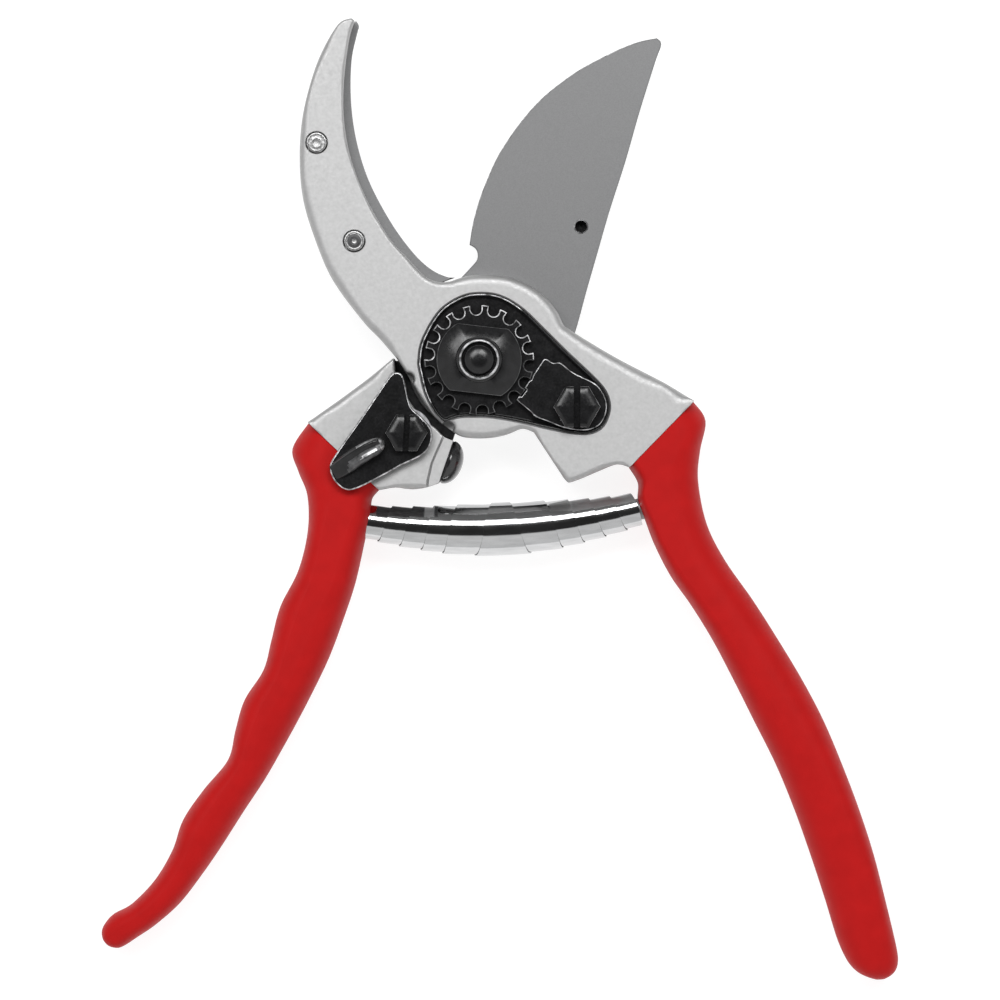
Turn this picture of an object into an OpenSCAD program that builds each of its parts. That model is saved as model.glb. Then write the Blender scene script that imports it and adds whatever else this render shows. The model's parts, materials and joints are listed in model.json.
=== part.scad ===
// Bypass pruning shears: two handles crossing on one bolt, a curved cutting blade that passes a
// hooked counter blade, a toothed locking nut, a thumb catch, a volute spring and dipped grips.
// Millimetres. The shears lie flat, +Z is up out of the nut side, the pivot axis is X = Y = 0.

/* [Grips] */
// Thickness of both grips, measured up from the resting face
grip_t = 16.8; // [16:0.1:18]
// Wall of the dipped covering over each tang
grip_wall = 2.4; // [1.8:0.1:3]
// How square the grip section is, 2 for an oval
grip_square = 3.0; // [2:0.1:5]
// Points round one grip section
grip_sides = 24; // [16:2:32]

/* [Blades] */
// Thickness of the cutting blade
blade_t = 3.4; // [2.8:0.1:3.6]
// Thickness of the counter blade under the hook
counter_t = 2.5; // [2:0.1:3]
// Running gap between the two blades
blade_gap = 0.1; // [0.05:0.01:0.2]
// Width of the ground bevel along the cutting edge
bevel_w = 5; // [3:0.1:6]
// Radius of the small blind hole in the cutting blade
blade_hole_r = 1.2; // [0.8:0.1:1.6]
// Depth of that hole from the nut side
blade_hole_deep = 2.6; // [1:0.1:2.8]
// Radius of the rivets that hold the counter blade
rivet_r = 2.1; // [1.6:0.1:2.4]

/* [Pivot] */
// Radius of the bolt shank
bolt_r = 4.5; // [4:0.1:4.8]
// Radius of the low bolt head
bolt_head_r = 9; // [8:0.1:10]
// Running clearance of the bush on the bolt
bush_gap = 0.05; // [0.02:0.01:0.1]
// Number of teeth round the locking nut
nut_teeth = 18; // [16:1:20]
// Radius over the nut teeth
nut_tip_r = 10.9; // [10.5:0.1:10.9]
// Distance over the two flats of the nut
nut_flats = 13.4; // [12:0.1:14.5]
// Angle of the nut flats
nut_turn = -6.5; // [-15:0.5:15]
// Angle of the first tooth gap
nut_phase = 13.5; // [0:0.5:20]

/* [Fixings] */
// Distance over the flats of the segment screw head
segment_hex = 8.1; // [7:0.1:8.6]
// Distance over the flats of the catch screw head
catch_hex = 7.2; // [6.5:0.1:8]
// Radius of both screw shanks
screw_r = 2.5; // [2:0.1:2.8]
// Width of the driver slots
slot_w = 1.3; // [0.9:0.1:1.6]

/* [Catch and bumper] */
// Thickness of the catch plate
catch_t = 2; // [1.6:0.1:2.4]
// Height of the thumb rib above the catch plate
rib_h = 3.8; // [2.5:0.1:4.5]
// Radius of the rubber shock absorber
bumper_r = 4.5; // [4:0.1:5]
// How far the shock absorber stands out
bumper_out = 3.3; // [2.5:0.1:3.5]

/* [Spring] */
// Number of turns in the return spring
spring_turns = 11; // [9:1:12]
// Radius of the widest turn
spring_r = 5.4; // [5:0.1:5.8]
// Thickness of the spring strip
strip_t = 0.7; // [0.5:0.1:0.9]
// Width of the spring strip
strip_w = 4; // [3:0.1:4.2]

/* [Hidden] */
$fa = 6;
$fs = 0.5;

// levels above the resting face
bolt_head_t = 1.6;
washer_t = 0.5;
disc_z = bolt_head_t + washer_t + 0.1;
blade_z1 = 9;
blade_z0 = blade_z1 - blade_t;
counter_z0 = blade_z1 + blade_gap;
counter_z1 = counter_z0 + counter_t;
top_z = 16.6;
recess_z = 14.6;
seat_t = 0.8;
rim_w = 0.35;
seat_z1 = recess_z + seat_t;
teeth_z1 = seat_z1 + 2;
nut_z1 = teeth_z1 + 3;
shoulder_z = 16.8;
catch_z0 = shoulder_z + 0.3;
catch_z1 = catch_z0 + catch_t;
neck_z0 = 1;
tang_z0 = 3.2;
tang_z1 = grip_t - 3.2;

// how far the blade handle turns to close
close_angle = 49.5;

// bolt head, its spanner holes, and the domed end inside its collar
head_chamfer = 0.6;
spanner_x = 6;
spanner_r = 1;
bolt_tip_t = 0.5;
collar_r = 3.7;
collar_deep = 0.4;
dome_r = 2.95;
dome_ball_r = 6;
dome_sink = 4.6;

// tooth gaps of the nut and the crown above them
nut_root_r = 9;
nut_gap_r = 1.15;
nut_mouth_r = 12.4;
nut_mouth_flare = 0.35;
crown_r = 8.5;
crown_top_r = 6.4;
crown_t = 0.9;

// plan radii round the pivot
disc_r = 15;
shoulder_r = 16.9;
neck_r = 17.3;
blade_tail_r = 14.5;
bush_r = 6.2;

// fixings in plan
segment_at = [19.45, -9.4];
catch_at = [-14.4, -14.6];
rivets_at = [[-32.4, 43.3], [-24.9, 23.7]];
blade_hole_at = [20.4, 26.95];
pins_at = [[-8.6, -8.6], [8.6, -8.6]];
pin_r = 1.5;
slot_deep = 1.2;
bumper_at = [-6.6, -20.2];
bumper_dir = -19.2;
bumper_z = 9.2;
stem_r = 2;
stem_deep = 6;
lug_at = [-16, -4];
lug_r = 0.9;
lug_swing = 9;
spring_a = [-21.7, -32.5];
spring_b = [32.1, -29.7];
spring_dip = 2.88;
spring_z = 8.4;
spring_len = 56;
spring_end_r = 3.6;
post_tilt = 8;
post_r = 2.15;
post_root = 7.5;
post_nose = 6;

// smooth run through a list of points
function cr(a, b, c, d, t) = 0.5 * (2 * b + (c - a) * t + (2 * a - 5 * b + 4 * c - d) * t * t
    + (3 * b - a - 3 * c + d) * t * t * t);
function run(p, n = 3) = [
    for (i = [0:len(p) - 2], k = [0:n - 1])
        cr(p[max(i - 1, 0)], p[i], p[i + 1], p[min(i + 2, len(p) - 1)], k / n),
    p[len(p) - 1]
];
function arc(r, a0, a1, n = 16) = [
    for (k = [0:n]) [r * cos(a0 + (a1 - a0) * k / n), r * sin(a0 + (a1 - a0) * k / n)]
];
function back(p) = [for (i = [len(p) - 1:-1:0]) p[i]];

// anvil handle outline, hook tip first and down the outer side
hook_outer = [
    [-25.5, 68.1], [-28, 67], [-31.1, 62], [-33.4, 56], [-35.3, 48], [-35.8, 40], [-35.1, 32],
    [-32.7, 24], [-29.25, 16], [-23.4, 8], [-19.8, 4.2], [-16.6, 0.5]
];
boss_low = [
    [-16.6, 0.5], [-15.2, -1.6], [-12.7, -5.9], [-10.1, -9.96], [-8.7, -11.6], [-5.9, -13.9],
    [-3.1, -15.35], [1, -15.6], [4.2, -15.2], [6.2, -14.6], [8.2, -13.75], [9.4, -13.8],
    [10.9, -14.4]
];
stop_foot = [
    [16.8, -23.4], [17.4, -24.1], [18.2, -24.4], [21, -23.4], [23.8, -22.2], [27.5, -20.8],
    [30, -21.4]
];
neck_top = [
    [42.9, -8.15], [36.5, -4.3], [28, 0.1], [20.5, 4.5], [17.7, 6.3], [16.8, 7], [15.3, 10],
    [12.1, 13.5], [8, 15.8], [4.2, 16.8], [0, 16.96], [-2.7, 16.7], [-5.7, 15.7]
];
hook_inner = [
    [-5.7, 15.7], [-8.2, 15.55], [-10.8, 16.7], [-14.3, 20.3], [-17.9, 24.3], [-22.4, 32],
    [-25.55, 40], [-27, 48], [-27, 56], [-26, 64], [-24.9, 67.7]
];
anvil_outline = concat(run(hook_outer), run(boss_low), run(stop_foot), run(neck_top),
    run(hook_inner));
// regions of that outline that reach below the hook: beside the counter blade, then the neck block
beside_counter = [[9, -30], [50, -30], [50, 12], [14, 9]];
neck_block = [[9, -30], [50, -30], [50, 12], [26, 7], [16, -4]];

// counter blade: working edge from the tip down, then the hidden back edge
counter_edge = [
    [-24.6, 67.9], [-24.1, 67], [-24.5, 65.4], [-25.6, 60], [-25.7, 52], [-24.6, 44],
    [-22.1, 36], [-17.9, 28], [-13.6, 22], [-10, 18.5], [-6.7, 16.8], [-4.9, 16.62]
];
counter_back = [
    [-19.6, 5.7], [-22.8, 8.8], [-28.5, 16.4], [-31.9, 24.3], [-34.2, 32.1], [-34.9, 40],
    [-34.4, 47.8], [-32.6, 55.7], [-30.4, 61.5], [-27.6, 66], [-25.6, 67.6]
];
counter_outline = concat(run(counter_edge), arc(neck_r, 107, 160), run(counter_back));

// cutting blade: edge from the notch to the tip, spine, hidden disc, notch
blade_edge = [
    [-1.95, 23.3], [-1.26, 27.6], [0, 32.25], [1.96, 37.3], [4.2, 41.9], [8, 47.5],
    [12, 52.1], [16, 55.5], [20, 58.3], [24, 60.5], [28.1, 62.5], [32.1, 64], [35.6, 64.7]
];
blade_spine = [
    [35.6, 64.7], [36.5, 63.5], [35.3, 60], [32.15, 50], [29.3, 40], [26.1, 30],
    [23.8, 22], [21.5, 14], [19.3, 6], [17.4, 1.6], [14.2, -3]
];
blade_notch = [
    [-3.8, 16.5], [-1.35, 19.1], [-0.4, 20.4], [-0.4, 21.9], [-1, 22.8], [-1.95, 23.3]
];
blade_outline = concat(run(blade_edge), run(blade_spine), arc(blade_tail_r, -12, -250, 40),
    run(blade_notch));

// black seat plate under the nut and segment
seat_top = [
    [-12.1, -0.9], [-11.4, 3.7], [-8, 9.6], [-3.6, 12.6], [0.5, 13.3], [4.6, 12.6],
    [8.7, 10.1], [12.8, 6.2], [17.7, 1.35], [22.8, -3.5], [25.2, -6.4], [26, -9.6],
    [24.8, -13], [22.4, -14.5], [19.1, -14.6], [14, -13.7], [8.4, -12.4], [2.6, -11.4],
    [-1.9, -11.25], [-4.6, -11.5], [-6.9, -12.4]
];
seat_left = [[-6.9, -12.4], [-8.7, -10.6], [-10.8, -6.5], [-12.1, -0.9]];
seat_outline = concat(run(seat_top), run(seat_left));

// locking segment, outer side only; its teeth are left by the nut
segment_edge = [
    [12.9, 0.2], [13.6, 0.1], [14.8, -0.6], [16.2, -0.6], [18.9, -2.6], [23.4, -4.9],
    [25.1, -7.2], [25.4, -10], [24.2, -12.7], [22, -13.9], [19.4, -14], [16.5, -13.4],
    [14, -12.4], [11.2, -11.3], [10.2, -10.3], [7.4, -8]
];

// blade handle shoulder, from the inner corner along the top, round below to the bumper face
shoulder_top = [[-17.2, 0.3], [-22, -3.6], [-28.1, -8.1], [-34.2, -12.4]];
shoulder_low = [
    [-20.05, -25.9], [-16.9, -25.4], [-13.8, -25.75], [-10.7, -25.4], [-8.1, -24.5]
];
shoulder_outline = concat(run(shoulder_top), run(shoulder_low), arc(shoulder_r, -108, -181, 24));

// thumb catch plate and rib
catch_outline = [
    [-17.1, -2.6], [-15.8, -2.6], [-14.9, -3.9], [-13.7, -9], [-11.8, -11.1], [-9.6, -13.6],
    [-9.5, -16.4], [-11.2, -18.9], [-15.8, -21.2], [-20.9, -24], [-25.8, -26], [-28.6, -24.3],
    [-29.7, -21.5], [-28.6, -18.9], [-23.5, -11.6], [-18.4, -4.1], [-17.1, -2.6]
];
rib_outline = [
    [-28.4, -20.2], [-24, -17], [-21.4, -15.7], [-19.3, -15.9], [-18.4, -17.6], [-20.6, -19],
    [-23.4, -20.3], [-25.8, -22], [-28, -22.4], [-28.4, -20.2]
];

// grip edges in pairs: outer edge point, inner edge point, from the mouth to the end
blade_grip_pairs = [
    [[-34.2, -12.4], [-20.05, -25.9]], [[-37.5, -17.6], [-21.4, -27.5]],
    [[-36.3, -22.2], [-21.7, -29.3]], [[-34.5, -27], [-21.8, -31]],
    [[-34.4, -34], [-22.8, -35.5]], [[-36.3, -42], [-24.8, -44.4]],
    [[-39.9, -49.2], [-27.3, -52]], [[-41.7, -56], [-29.9, -59]],
    [[-43.3, -62], [-32.7, -65]], [[-47.1, -68], [-36.3, -72]],
    [[-48.9, -74], [-39.6, -78]], [[-50.4, -80], [-43.05, -84]],
    [[-55.3, -86], [-47.4, -90.6]], [[-59.4, -92], [-51.8, -97.5]],
    [[-61.5, -98], [-55.6, -103]], [[-65, -104], [-60, -108.7]],
    [[-70, -109.2], [-65.4, -113.4]], [[-74.6, -112.3], [-70, -116.5]],
    [[-75.6, -115], [-73, -117.7]]
];
anvil_grip_pairs = [
    [[42.9, -8.15], [30, -21.4]], [[45.4, -12], [31.8, -24.5]],
    [[44.3, -18], [31.8, -28]], [[43.9, -24], [33.2, -31.8]],
    [[45.6, -32.6], [35.2, -37]], [[49.3, -40], [38.4, -43.2]],
    [[54.9, -48], [42.6, -49.2]], [[60, -56], [46.9, -56.2]],
    [[64.8, -64], [51, -64]], [[69, -72], [55, -72]],
    [[72.8, -81], [59.5, -81]], [[76.2, -90], [63.2, -90]],
    [[79.1, -99], [66.4, -99]], [[81.4, -108], [69.35, -108]],
    [[83.3, -116], [72, -116.4]], [[83.9, -120.2], [75, -121.7]],
    [[82.4, -123.1], [78, -123.9]]
];

// one ring of a grip, from its two edge points
function lerp(a, b, t) = a + (b - a) * t;
function power(v, e) = sign(v) * pow(abs(v), e);
function grip_ring(o, i, h) = [
    for (k = [0:grip_sides - 1])
        let (a = 360 * k / grip_sides, u = power(cos(a), 2 / grip_square),
            v = power(sin(a), 2 / grip_square), p = lerp(o, i, (1 + u) / 2))
        [p[0], p[1], grip_t / 2 + v * h / 2]
];
// the grip thins towards its end, from this share of its length
thin_from = 0.8;
thin_rate = 4.18;
function grip_height(t) = grip_t * (1 - thin_rate * pow(max(t - thin_from, 0), 1.5));

module grip_skin(pairs) {
    o = run([for (q = pairs) q[0]], 2);
    i = run([for (q = pairs) q[1]], 2);
    n = len(o);
    m = grip_sides;
    pts = [for (s = [0:n - 1]) each grip_ring(o[s], i[s], grip_height(s / (n - 1)))];
    turn = cross(i[1] - o[1], o[2] - o[1]) > 0;
    quads = [
        for (s = [0:n - 2], k = [0:m - 1])
            let (a = s * m + k, b = s * m + (k + 1) % m)
            each [[a, b, b + m], [a, b + m, a + m]]
    ];
    caps = [[for (k = [m - 1:-1:0]) k], [for (k = [0:m - 1]) (n - 1) * m + k]];
    faces = concat(quads, caps);
    polyhedron(pts, turn ? faces : [for (f = faces) back(f)], convexity = 6);
}

// tang outline inside a grip, drawn in from both edges by the wall
function tang_side(pairs, side) = [
    for (s = [0:len(pairs) - 3])
        let (a = pairs[s][side], b = pairs[s][1 - side]) a + (b - a) * grip_wall / norm(b - a)
];

module tang(pairs, grow = 0) {
    translate([0, 0, tang_z0 - grow])
        linear_extrude(tang_z1 - tang_z0 + 2 * grow)
            offset(delta = grow)
                polygon(concat(run(tang_side(pairs, 0), 2), back(run(tang_side(pairs, 1), 2))));
}

module slab(z0, z1, pts) {
    translate([0, 0, z0])
        linear_extrude(z1 - z0)
            polygon(pts);
}

module rod(r, z0, z1) {
    translate([0, 0, z0])
        cylinder(r = r, h = z1 - z0, $fn = 64);
}

module hex_head(across, z0, z1, turn) {
    difference() {
        intersection() {
            translate([0, 0, z0])
                rotate(turn)
                    cylinder(d = across / cos(30), h = z1 - z0, $fn = 6);
            translate([0, 0, z0])
                cylinder(r1 = across / 2 + 2.2, r2 = across / 2 + 0.1, h = z1 - z0, $fn = 64);
        }
        translate([0, 0, z1])
            rotate(turn)
                cube([slot_w, across + 4, 2 * slot_deep], center = true);
    }
}

module nut_profile(grow = 0) {
    gap_r = nut_gap_r - grow;
    gap_x = nut_root_r + nut_gap_r;
    mouth = gap_r + nut_mouth_flare;
    difference() {
        circle(r = nut_tip_r + grow, $fn = 90);
        for (k = [0:nut_teeth - 1])
            rotate(nut_phase + 360 * k / nut_teeth) {
                translate([gap_x, 0])
                    circle(r = gap_r, $fn = 20);
                polygon([
                    [gap_x, -gap_r], [nut_mouth_r, -mouth], [nut_mouth_r, mouth], [gap_x, gap_r]
                ]);
            }
    }
}

module anvil_handle_core() {
    color([0.78, 0.79, 0.8])
        difference() {
            union() {
                slab(counter_z1, top_z, anvil_outline);
                translate([0, 0, counter_z0])
                    linear_extrude(counter_z1 - counter_z0)
                        intersection() {
                            polygon(anvil_outline);
                            union() {
                                circle(r = neck_r - 0.05, $fn = 120);
                                polygon(beside_counter);
                            }
                        }
                translate([0, 0, neck_z0])
                    linear_extrude(counter_z0 - neck_z0)
                        difference() {
                            intersection() {
                                polygon(anvil_outline);
                                polygon(neck_block);
                            }
                            circle(r = neck_r, $fn = 120);
                        }
                tang(anvil_grip_pairs);
            }
            slab(recess_z, top_z + 1, seat_outline);
            rod(bolt_r + 0.05, 0, top_z);
            translate(segment_at)
                rod(screw_r, 8, top_z);
            for (p = rivets_at)
                translate(p)
                    rod(rivet_r, counter_z0 - 1, top_z + 1);
            // pocket for the catch lug when shut, and the shallow relief it needs when open
            for (a = [0, close_angle])
                rotate(a)
                    translate(catch_at)
                        rotate(-lug_swing)
                            translate(lug_at - catch_at)
                                rod(lug_r + 0.35, recess_z, top_z + 1);
            spring_hole(spring_b, 1);
        }
}

module spring_hole(at, side) {
    translate([at[0], at[1], spring_z])
        rotate([0, side * 90, side * post_tilt])
            translate([0, 0, -1])
                cylinder(r = post_r + 0.05, h = post_root + 1.5, $fn = 40);
}

module anvil_grip() {
    color([0.74, 0.11, 0.11])
        difference() {
            grip_skin(anvil_grip_pairs);
            tang(anvil_grip_pairs, 0.02);
            spring_hole(spring_b, 1);
        }
}

module bevel_cut() {
    e = run(blade_edge);
    n = len(e);
    z0 = blade_z0 - 0.6;
    function inward(s) =
        let (d = e[min(s + 1, n - 1)] - e[max(s - 1, 0)]) [d[1], -d[0]] / norm(d);
    pts = [
        for (s = [0:n - 1])
            let (p = e[s] - 1.2 * inward(s), q = e[s] + bevel_w * inward(s))
            each [
                [p[0], p[1], z0], [q[0], q[1], z0], [q[0], q[1], blade_z0],
                [p[0], p[1], blade_z0 + (blade_t - 0.35) * (1 + 1.2 / bevel_w)]
            ]
    ];
    sides = [
        for (s = [0:n - 2], k = [0:3])
            let (a = s * 4 + k, b = s * 4 + (k + 1) % 4)
            each [[a, b, b + 4], [a, b + 4, a + 4]]
    ];
    faces = concat(sides, [[3, 2, 1, 0], [for (k = [0:3]) (n - 1) * 4 + k]]);
    polyhedron(pts, faces, convexity = 6);
}

module cutting_blade() {
    color([0.55, 0.56, 0.57])
        difference() {
            slab(blade_z0, blade_z1, blade_outline);
            bevel_cut();
            rod(bush_r, 0, 12);
            translate(blade_hole_at)
                rod(blade_hole_r, blade_z1 - blade_hole_deep, blade_z1 + 1);
            for (p = pins_at)
                translate(p)
                    rod(pin_r, blade_z0 - 1, blade_z1 - 0.6);
        }
}

module counter_blade() {
    color([0.56, 0.57, 0.58])
        difference() {
            slab(counter_z0, counter_z1, counter_outline);
            for (p = rivets_at)
                translate(p)
                    rod(rivet_r, 0, 20);
        }
}

module counter_blade_rivet() {
    color([0.8, 0.8, 0.81])
        for (p = rivets_at)
            translate(p) {
                rod(rivet_r - 0.02, counter_z0, top_z - 0.2);
                rod(rivet_r - 0.5, top_z - 0.2, top_z);
            }
}

module pivot_bolt() {
    color([0.1, 0.1, 0.11])
        difference() {
            union() {
                cylinder(r1 = bolt_head_r - head_chamfer, r2 = bolt_head_r, h = head_chamfer, $fn = 90);
                rod(bolt_head_r, head_chamfer, bolt_head_t);
                rod(bolt_r, bolt_tip_t, nut_z1);
                translate([0, 0, nut_z1])
                    cylinder(r1 = bolt_r, r2 = bolt_r - bolt_tip_t, h = bolt_tip_t, $fn = 64);
                translate([0, 0, nut_z1])
                    intersection() {
                        cylinder(r = dome_r, h = 2, $fn = 64);
                        translate([0, 0, -dome_sink])
                            sphere(r = dome_ball_r, $fn = 64);
                    }
            }
            difference() {
                rod(collar_r, nut_z1 - collar_deep, nut_z1 + 1);
                rod(dome_r, nut_z1 - 1, nut_z1 + 2);
            }
            for (x = [-spanner_x, spanner_x])
                translate([x, 0, -0.1])
                    cylinder(r = spanner_r, h = 1.1, $fn = 32);
        }
}

module bolt_washer() {
    color([0.7, 0.7, 0.72])
        difference() {
            rod(bolt_head_r - 0.5, bolt_head_t, bolt_head_t + washer_t);
            rod(bolt_r + 0.05, 0, 5);
        }
}

module pivot_nut() {
    color([0.09, 0.09, 0.1])
        difference() {
            union() {
                translate([0, 0, seat_z1])
                    linear_extrude(teeth_z1 - seat_z1)
                        nut_profile();
                intersection() {
                    union() {
                        rod(crown_r, teeth_z1 - 0.1, nut_z1 - crown_t);
                        translate([0, 0, nut_z1 - crown_t])
                            cylinder(r1 = crown_r, r2 = crown_top_r, h = crown_t, $fn = 90);
                    }
                    rotate(nut_turn)
                        translate([-10, -nut_flats / 2, 0])
                            cube([20, nut_flats, 30]);
                }
            }
            rod(bolt_r + 0.02, 0, 30);
        }
}

module nut_seat_plate() {
    color([0.07, 0.07, 0.08])
        difference() {
            translate([0, 0, recess_z])
                linear_extrude(top_z - recess_z)
                    offset(delta = -0.05)
                        polygon(seat_outline);
            translate([0, 0, seat_z1])
                linear_extrude(5)
                    offset(delta = -0.05 - rim_w)
                        polygon(seat_outline);
            rod(bolt_r + 0.1, 0, 30);
            translate(segment_at)
                rod(screw_r + 0.1, 0, 30);
        }
}

module locking_segment() {
    color([0.09, 0.09, 0.1])
        difference() {
            translate([0, 0, seat_z1])
                linear_extrude(teeth_z1 - seat_z1)
                    difference() {
                        intersection() {
                            polygon(run(segment_edge));
                            offset(delta = -0.2 - rim_w)
                                polygon(seat_outline);
                        }
                        nut_profile(0.25);
                    }
            translate(segment_at)
                rod(screw_r + 0.1, 0, 30);
        }
}

module segment_screw() {
    color([0.1, 0.1, 0.11])
        translate(segment_at) {
            hex_head(segment_hex, teeth_z1 + 0.3, teeth_z1 + 3, 0);
            rod(screw_r - 0.02, 9, teeth_z1 + 0.4);
        }
}

module segment_washer() {
    color([0.12, 0.12, 0.13])
        translate(segment_at)
            difference() {
                rod(3.9, teeth_z1, teeth_z1 + 0.3);
                rod(screw_r + 0.1, 0, 30);
            }
}

module spring_post(at, side) {
    translate([at[0], at[1], spring_z])
        rotate([0, side * 90, side * post_tilt])
            union() {
                cylinder(r = post_r, h = post_root, $fn = 40);
                translate([0, 0, -post_nose])
                    cylinder(r1 = 1.4, r2 = post_r, h = post_nose, $fn = 40);
            }
}

module spring_post_anvil() {
    color([0.75, 0.76, 0.77])
        spring_post(spring_b, 1);
}

module spring_post_blade() {
    color([0.75, 0.76, 0.77])
        spring_post(spring_a, -1);
}

module blade_handle_core() {
    color([0.78, 0.79, 0.8])
        difference() {
            union() {
                slab(bolt_head_t + 0.1, shoulder_z, shoulder_outline);
                translate([0, 0, disc_z])
                    linear_extrude(blade_z0 - disc_z)
                        union() {
                            circle(r = disc_r, $fn = 120);
                            polygon(concat([[0, 0]], arc(shoulder_r + 0.5, -108.5, -180.5, 24)));
                        }
                tang(blade_grip_pairs);
            }
            rod(bush_r, 0, 12);
            for (p = pins_at)
                translate(p)
                    rod(pin_r, disc_z + 0.6, blade_z0 + 1);
            translate(catch_at)
                rod(screw_r, 8, shoulder_z + 1);
            translate(lug_at)
                rod(lug_r + 0.4, recess_z, shoulder_z + 1);
            translate([bumper_at[0], bumper_at[1], bumper_z])
                rotate([0, 90, bumper_dir])
                    translate([0, 0, -stem_deep - 0.5])
                        cylinder(r = stem_r + 0.05, h = 12, $fn = 40);
            translate([bumper_at[0], bumper_at[1], bumper_z])
                rotate([0, 90, bumper_dir])
                    translate([0, 0, -0.8])
                        cylinder(r = bumper_r - 0.3, h = 4, $fn = 64);
            spring_hole(spring_a, -1);
        }
}

module blade_grip() {
    color([0.74, 0.11, 0.11])
        difference() {
            grip_skin(blade_grip_pairs);
            tang(blade_grip_pairs, 0.02);
            spring_hole(spring_a, -1);
        }
}

module blade_locating_pin() {
    color([0.6, 0.6, 0.62])
        for (p = pins_at)
            translate(p)
                rod(pin_r - 0.02, disc_z + 0.7, blade_z1 - 0.7);
}

module pivot_bush() {
    color([0.72, 0.6, 0.35])
        difference() {
            rod(bush_r - 0.02, disc_z, blade_z1);
            rod(bolt_r + bush_gap, 0, 20);
        }
}

module shock_absorber() {
    color([0.05, 0.05, 0.05])
        translate([bumper_at[0], bumper_at[1], bumper_z])
            rotate([0, 90, bumper_dir])
                rotate_extrude($fn = 64)
                    polygon(concat(
                        [[0, -stem_deep], [stem_r, -stem_deep], [stem_r, 0], [bumper_r, 0]],
                        [for (k = [0:12]) [
                            bumper_r * cos(90 * k / 12), bumper_out * pow(sin(90 * k / 12), 0.9)
                        ]]
                    ));
}

module absorber_seat() {
    color([0.7, 0.7, 0.72])
        translate([bumper_at[0], bumper_at[1], bumper_z])
            rotate([0, 90, bumper_dir])
                difference() {
                    translate([0, 0, -0.8])
                        cylinder(r = bumper_r - 0.32, h = 0.78, $fn = 64);
                    translate([0, 0, -2])
                        cylinder(r = stem_r + 0.05, h = 4, $fn = 40);
                }
}

module catch_screw() {
    color([0.1, 0.1, 0.11])
        translate(catch_at) {
            hex_head(catch_hex, catch_z1 + 0.1, catch_z1 + 2.9, 0);
            rod(3.2, catch_z0 - 0.3, catch_z1 + 0.2);
            rod(screw_r - 0.02, 9, catch_z0);
        }
}

module catch_washer() {
    color([0.6, 0.6, 0.62])
        translate(catch_at)
            difference() {
                rod(5, shoulder_z, shoulder_z + 0.2);
                rod(3.25, 0, 30);
            }
}

module thumb_catch() {
    color([0.08, 0.08, 0.09])
        union() {
            difference() {
                slab(catch_z0, catch_z1, run(catch_outline));
                translate(catch_at)
                    rod(3.25, 0, 30);
            }
            for (k = [0:3])
                translate([0, 0, catch_z1 - 0.1])
                    linear_extrude(0.1 + rib_h * sin(22.5 * (k + 1)))
                        offset(delta = -1.5 * (1 - cos(22.5 * (k + 0.5))))
                            polygon(run(rib_outline));
            translate(lug_at)
                rod(lug_r, recess_z + 0.3, catch_z0 + 0.1);
        }
}

// strip wound on a sagging centre line, widest in the middle
function spring_axis(t) = [
    lerp(spring_a[0], spring_b[0], t),
    lerp(spring_a[1], spring_b[1], t) - spring_dip * 4 * t * (1 - t),
    spring_z
];
function spring_radius(t) = spring_end_r + (spring_r - spring_end_r) * sin(180 * t);
function spring_corner(t, r, shift) =
    let (a = 360 * spring_turns * t, q = min(max(t + shift, 0), 1), c = spring_axis(q),
        d = spring_axis(min(q + 0.01, 1)) - spring_axis(max(q - 0.01, 0)), u = d / norm(d))
    c + r * (cos(a) * [-u[1], u[0], 0] + sin(a) * [0, 0, 1]);

module return_spring() {
    n = spring_turns * 20;
    w = strip_w / 2 / spring_len;
    pts = [
        for (s = [0:n])
            let (t = w + (1 - 2 * w) * s / n, r = spring_radius(t))
            each [
                spring_corner(t, r, -w), spring_corner(t, r, w),
                spring_corner(t, r - strip_t, w), spring_corner(t, r - strip_t, -w)
            ]
    ];
    sides = [
        for (s = [0:n - 1], k = [0:3])
            let (a = s * 4 + k, b = s * 4 + (k + 1) % 4)
            each [[a, b, b + 4], [a, b + 4, a + 4]]
    ];
    faces = concat(sides, [[3, 2, 1, 0], [for (k = [0:3]) n * 4 + k]]);
    color([0.82, 0.83, 0.84])
        polyhedron(pts, [for (f = faces) back(f)], convexity = 10);
}

anvil_handle_core();
anvil_grip();
counter_blade();
counter_blade_rivet();
pivot_bolt();
bolt_washer();
pivot_nut();
nut_seat_plate();
locking_segment();
segment_screw();
segment_washer();
spring_post_anvil();
blade_handle_core();
blade_grip();
cutting_blade();
blade_locating_pin();
pivot_bush();
shock_absorber();
absorber_seat();
catch_screw();
catch_washer();
spring_post_blade();
thumb_catch();
return_spring();
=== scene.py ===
"""Bypass pruning shears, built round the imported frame: cast handles, blades, nut, catch, spring and grips."""
import json
import math

import bmesh
import bpy
import mathutils
import numpy as np
from bpy.props import FloatProperty, FloatVectorProperty, IntProperty, PointerProperty
from bpy.types import Operator, Panel, PropertyGroup
from mathutils import Matrix, Vector

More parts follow.
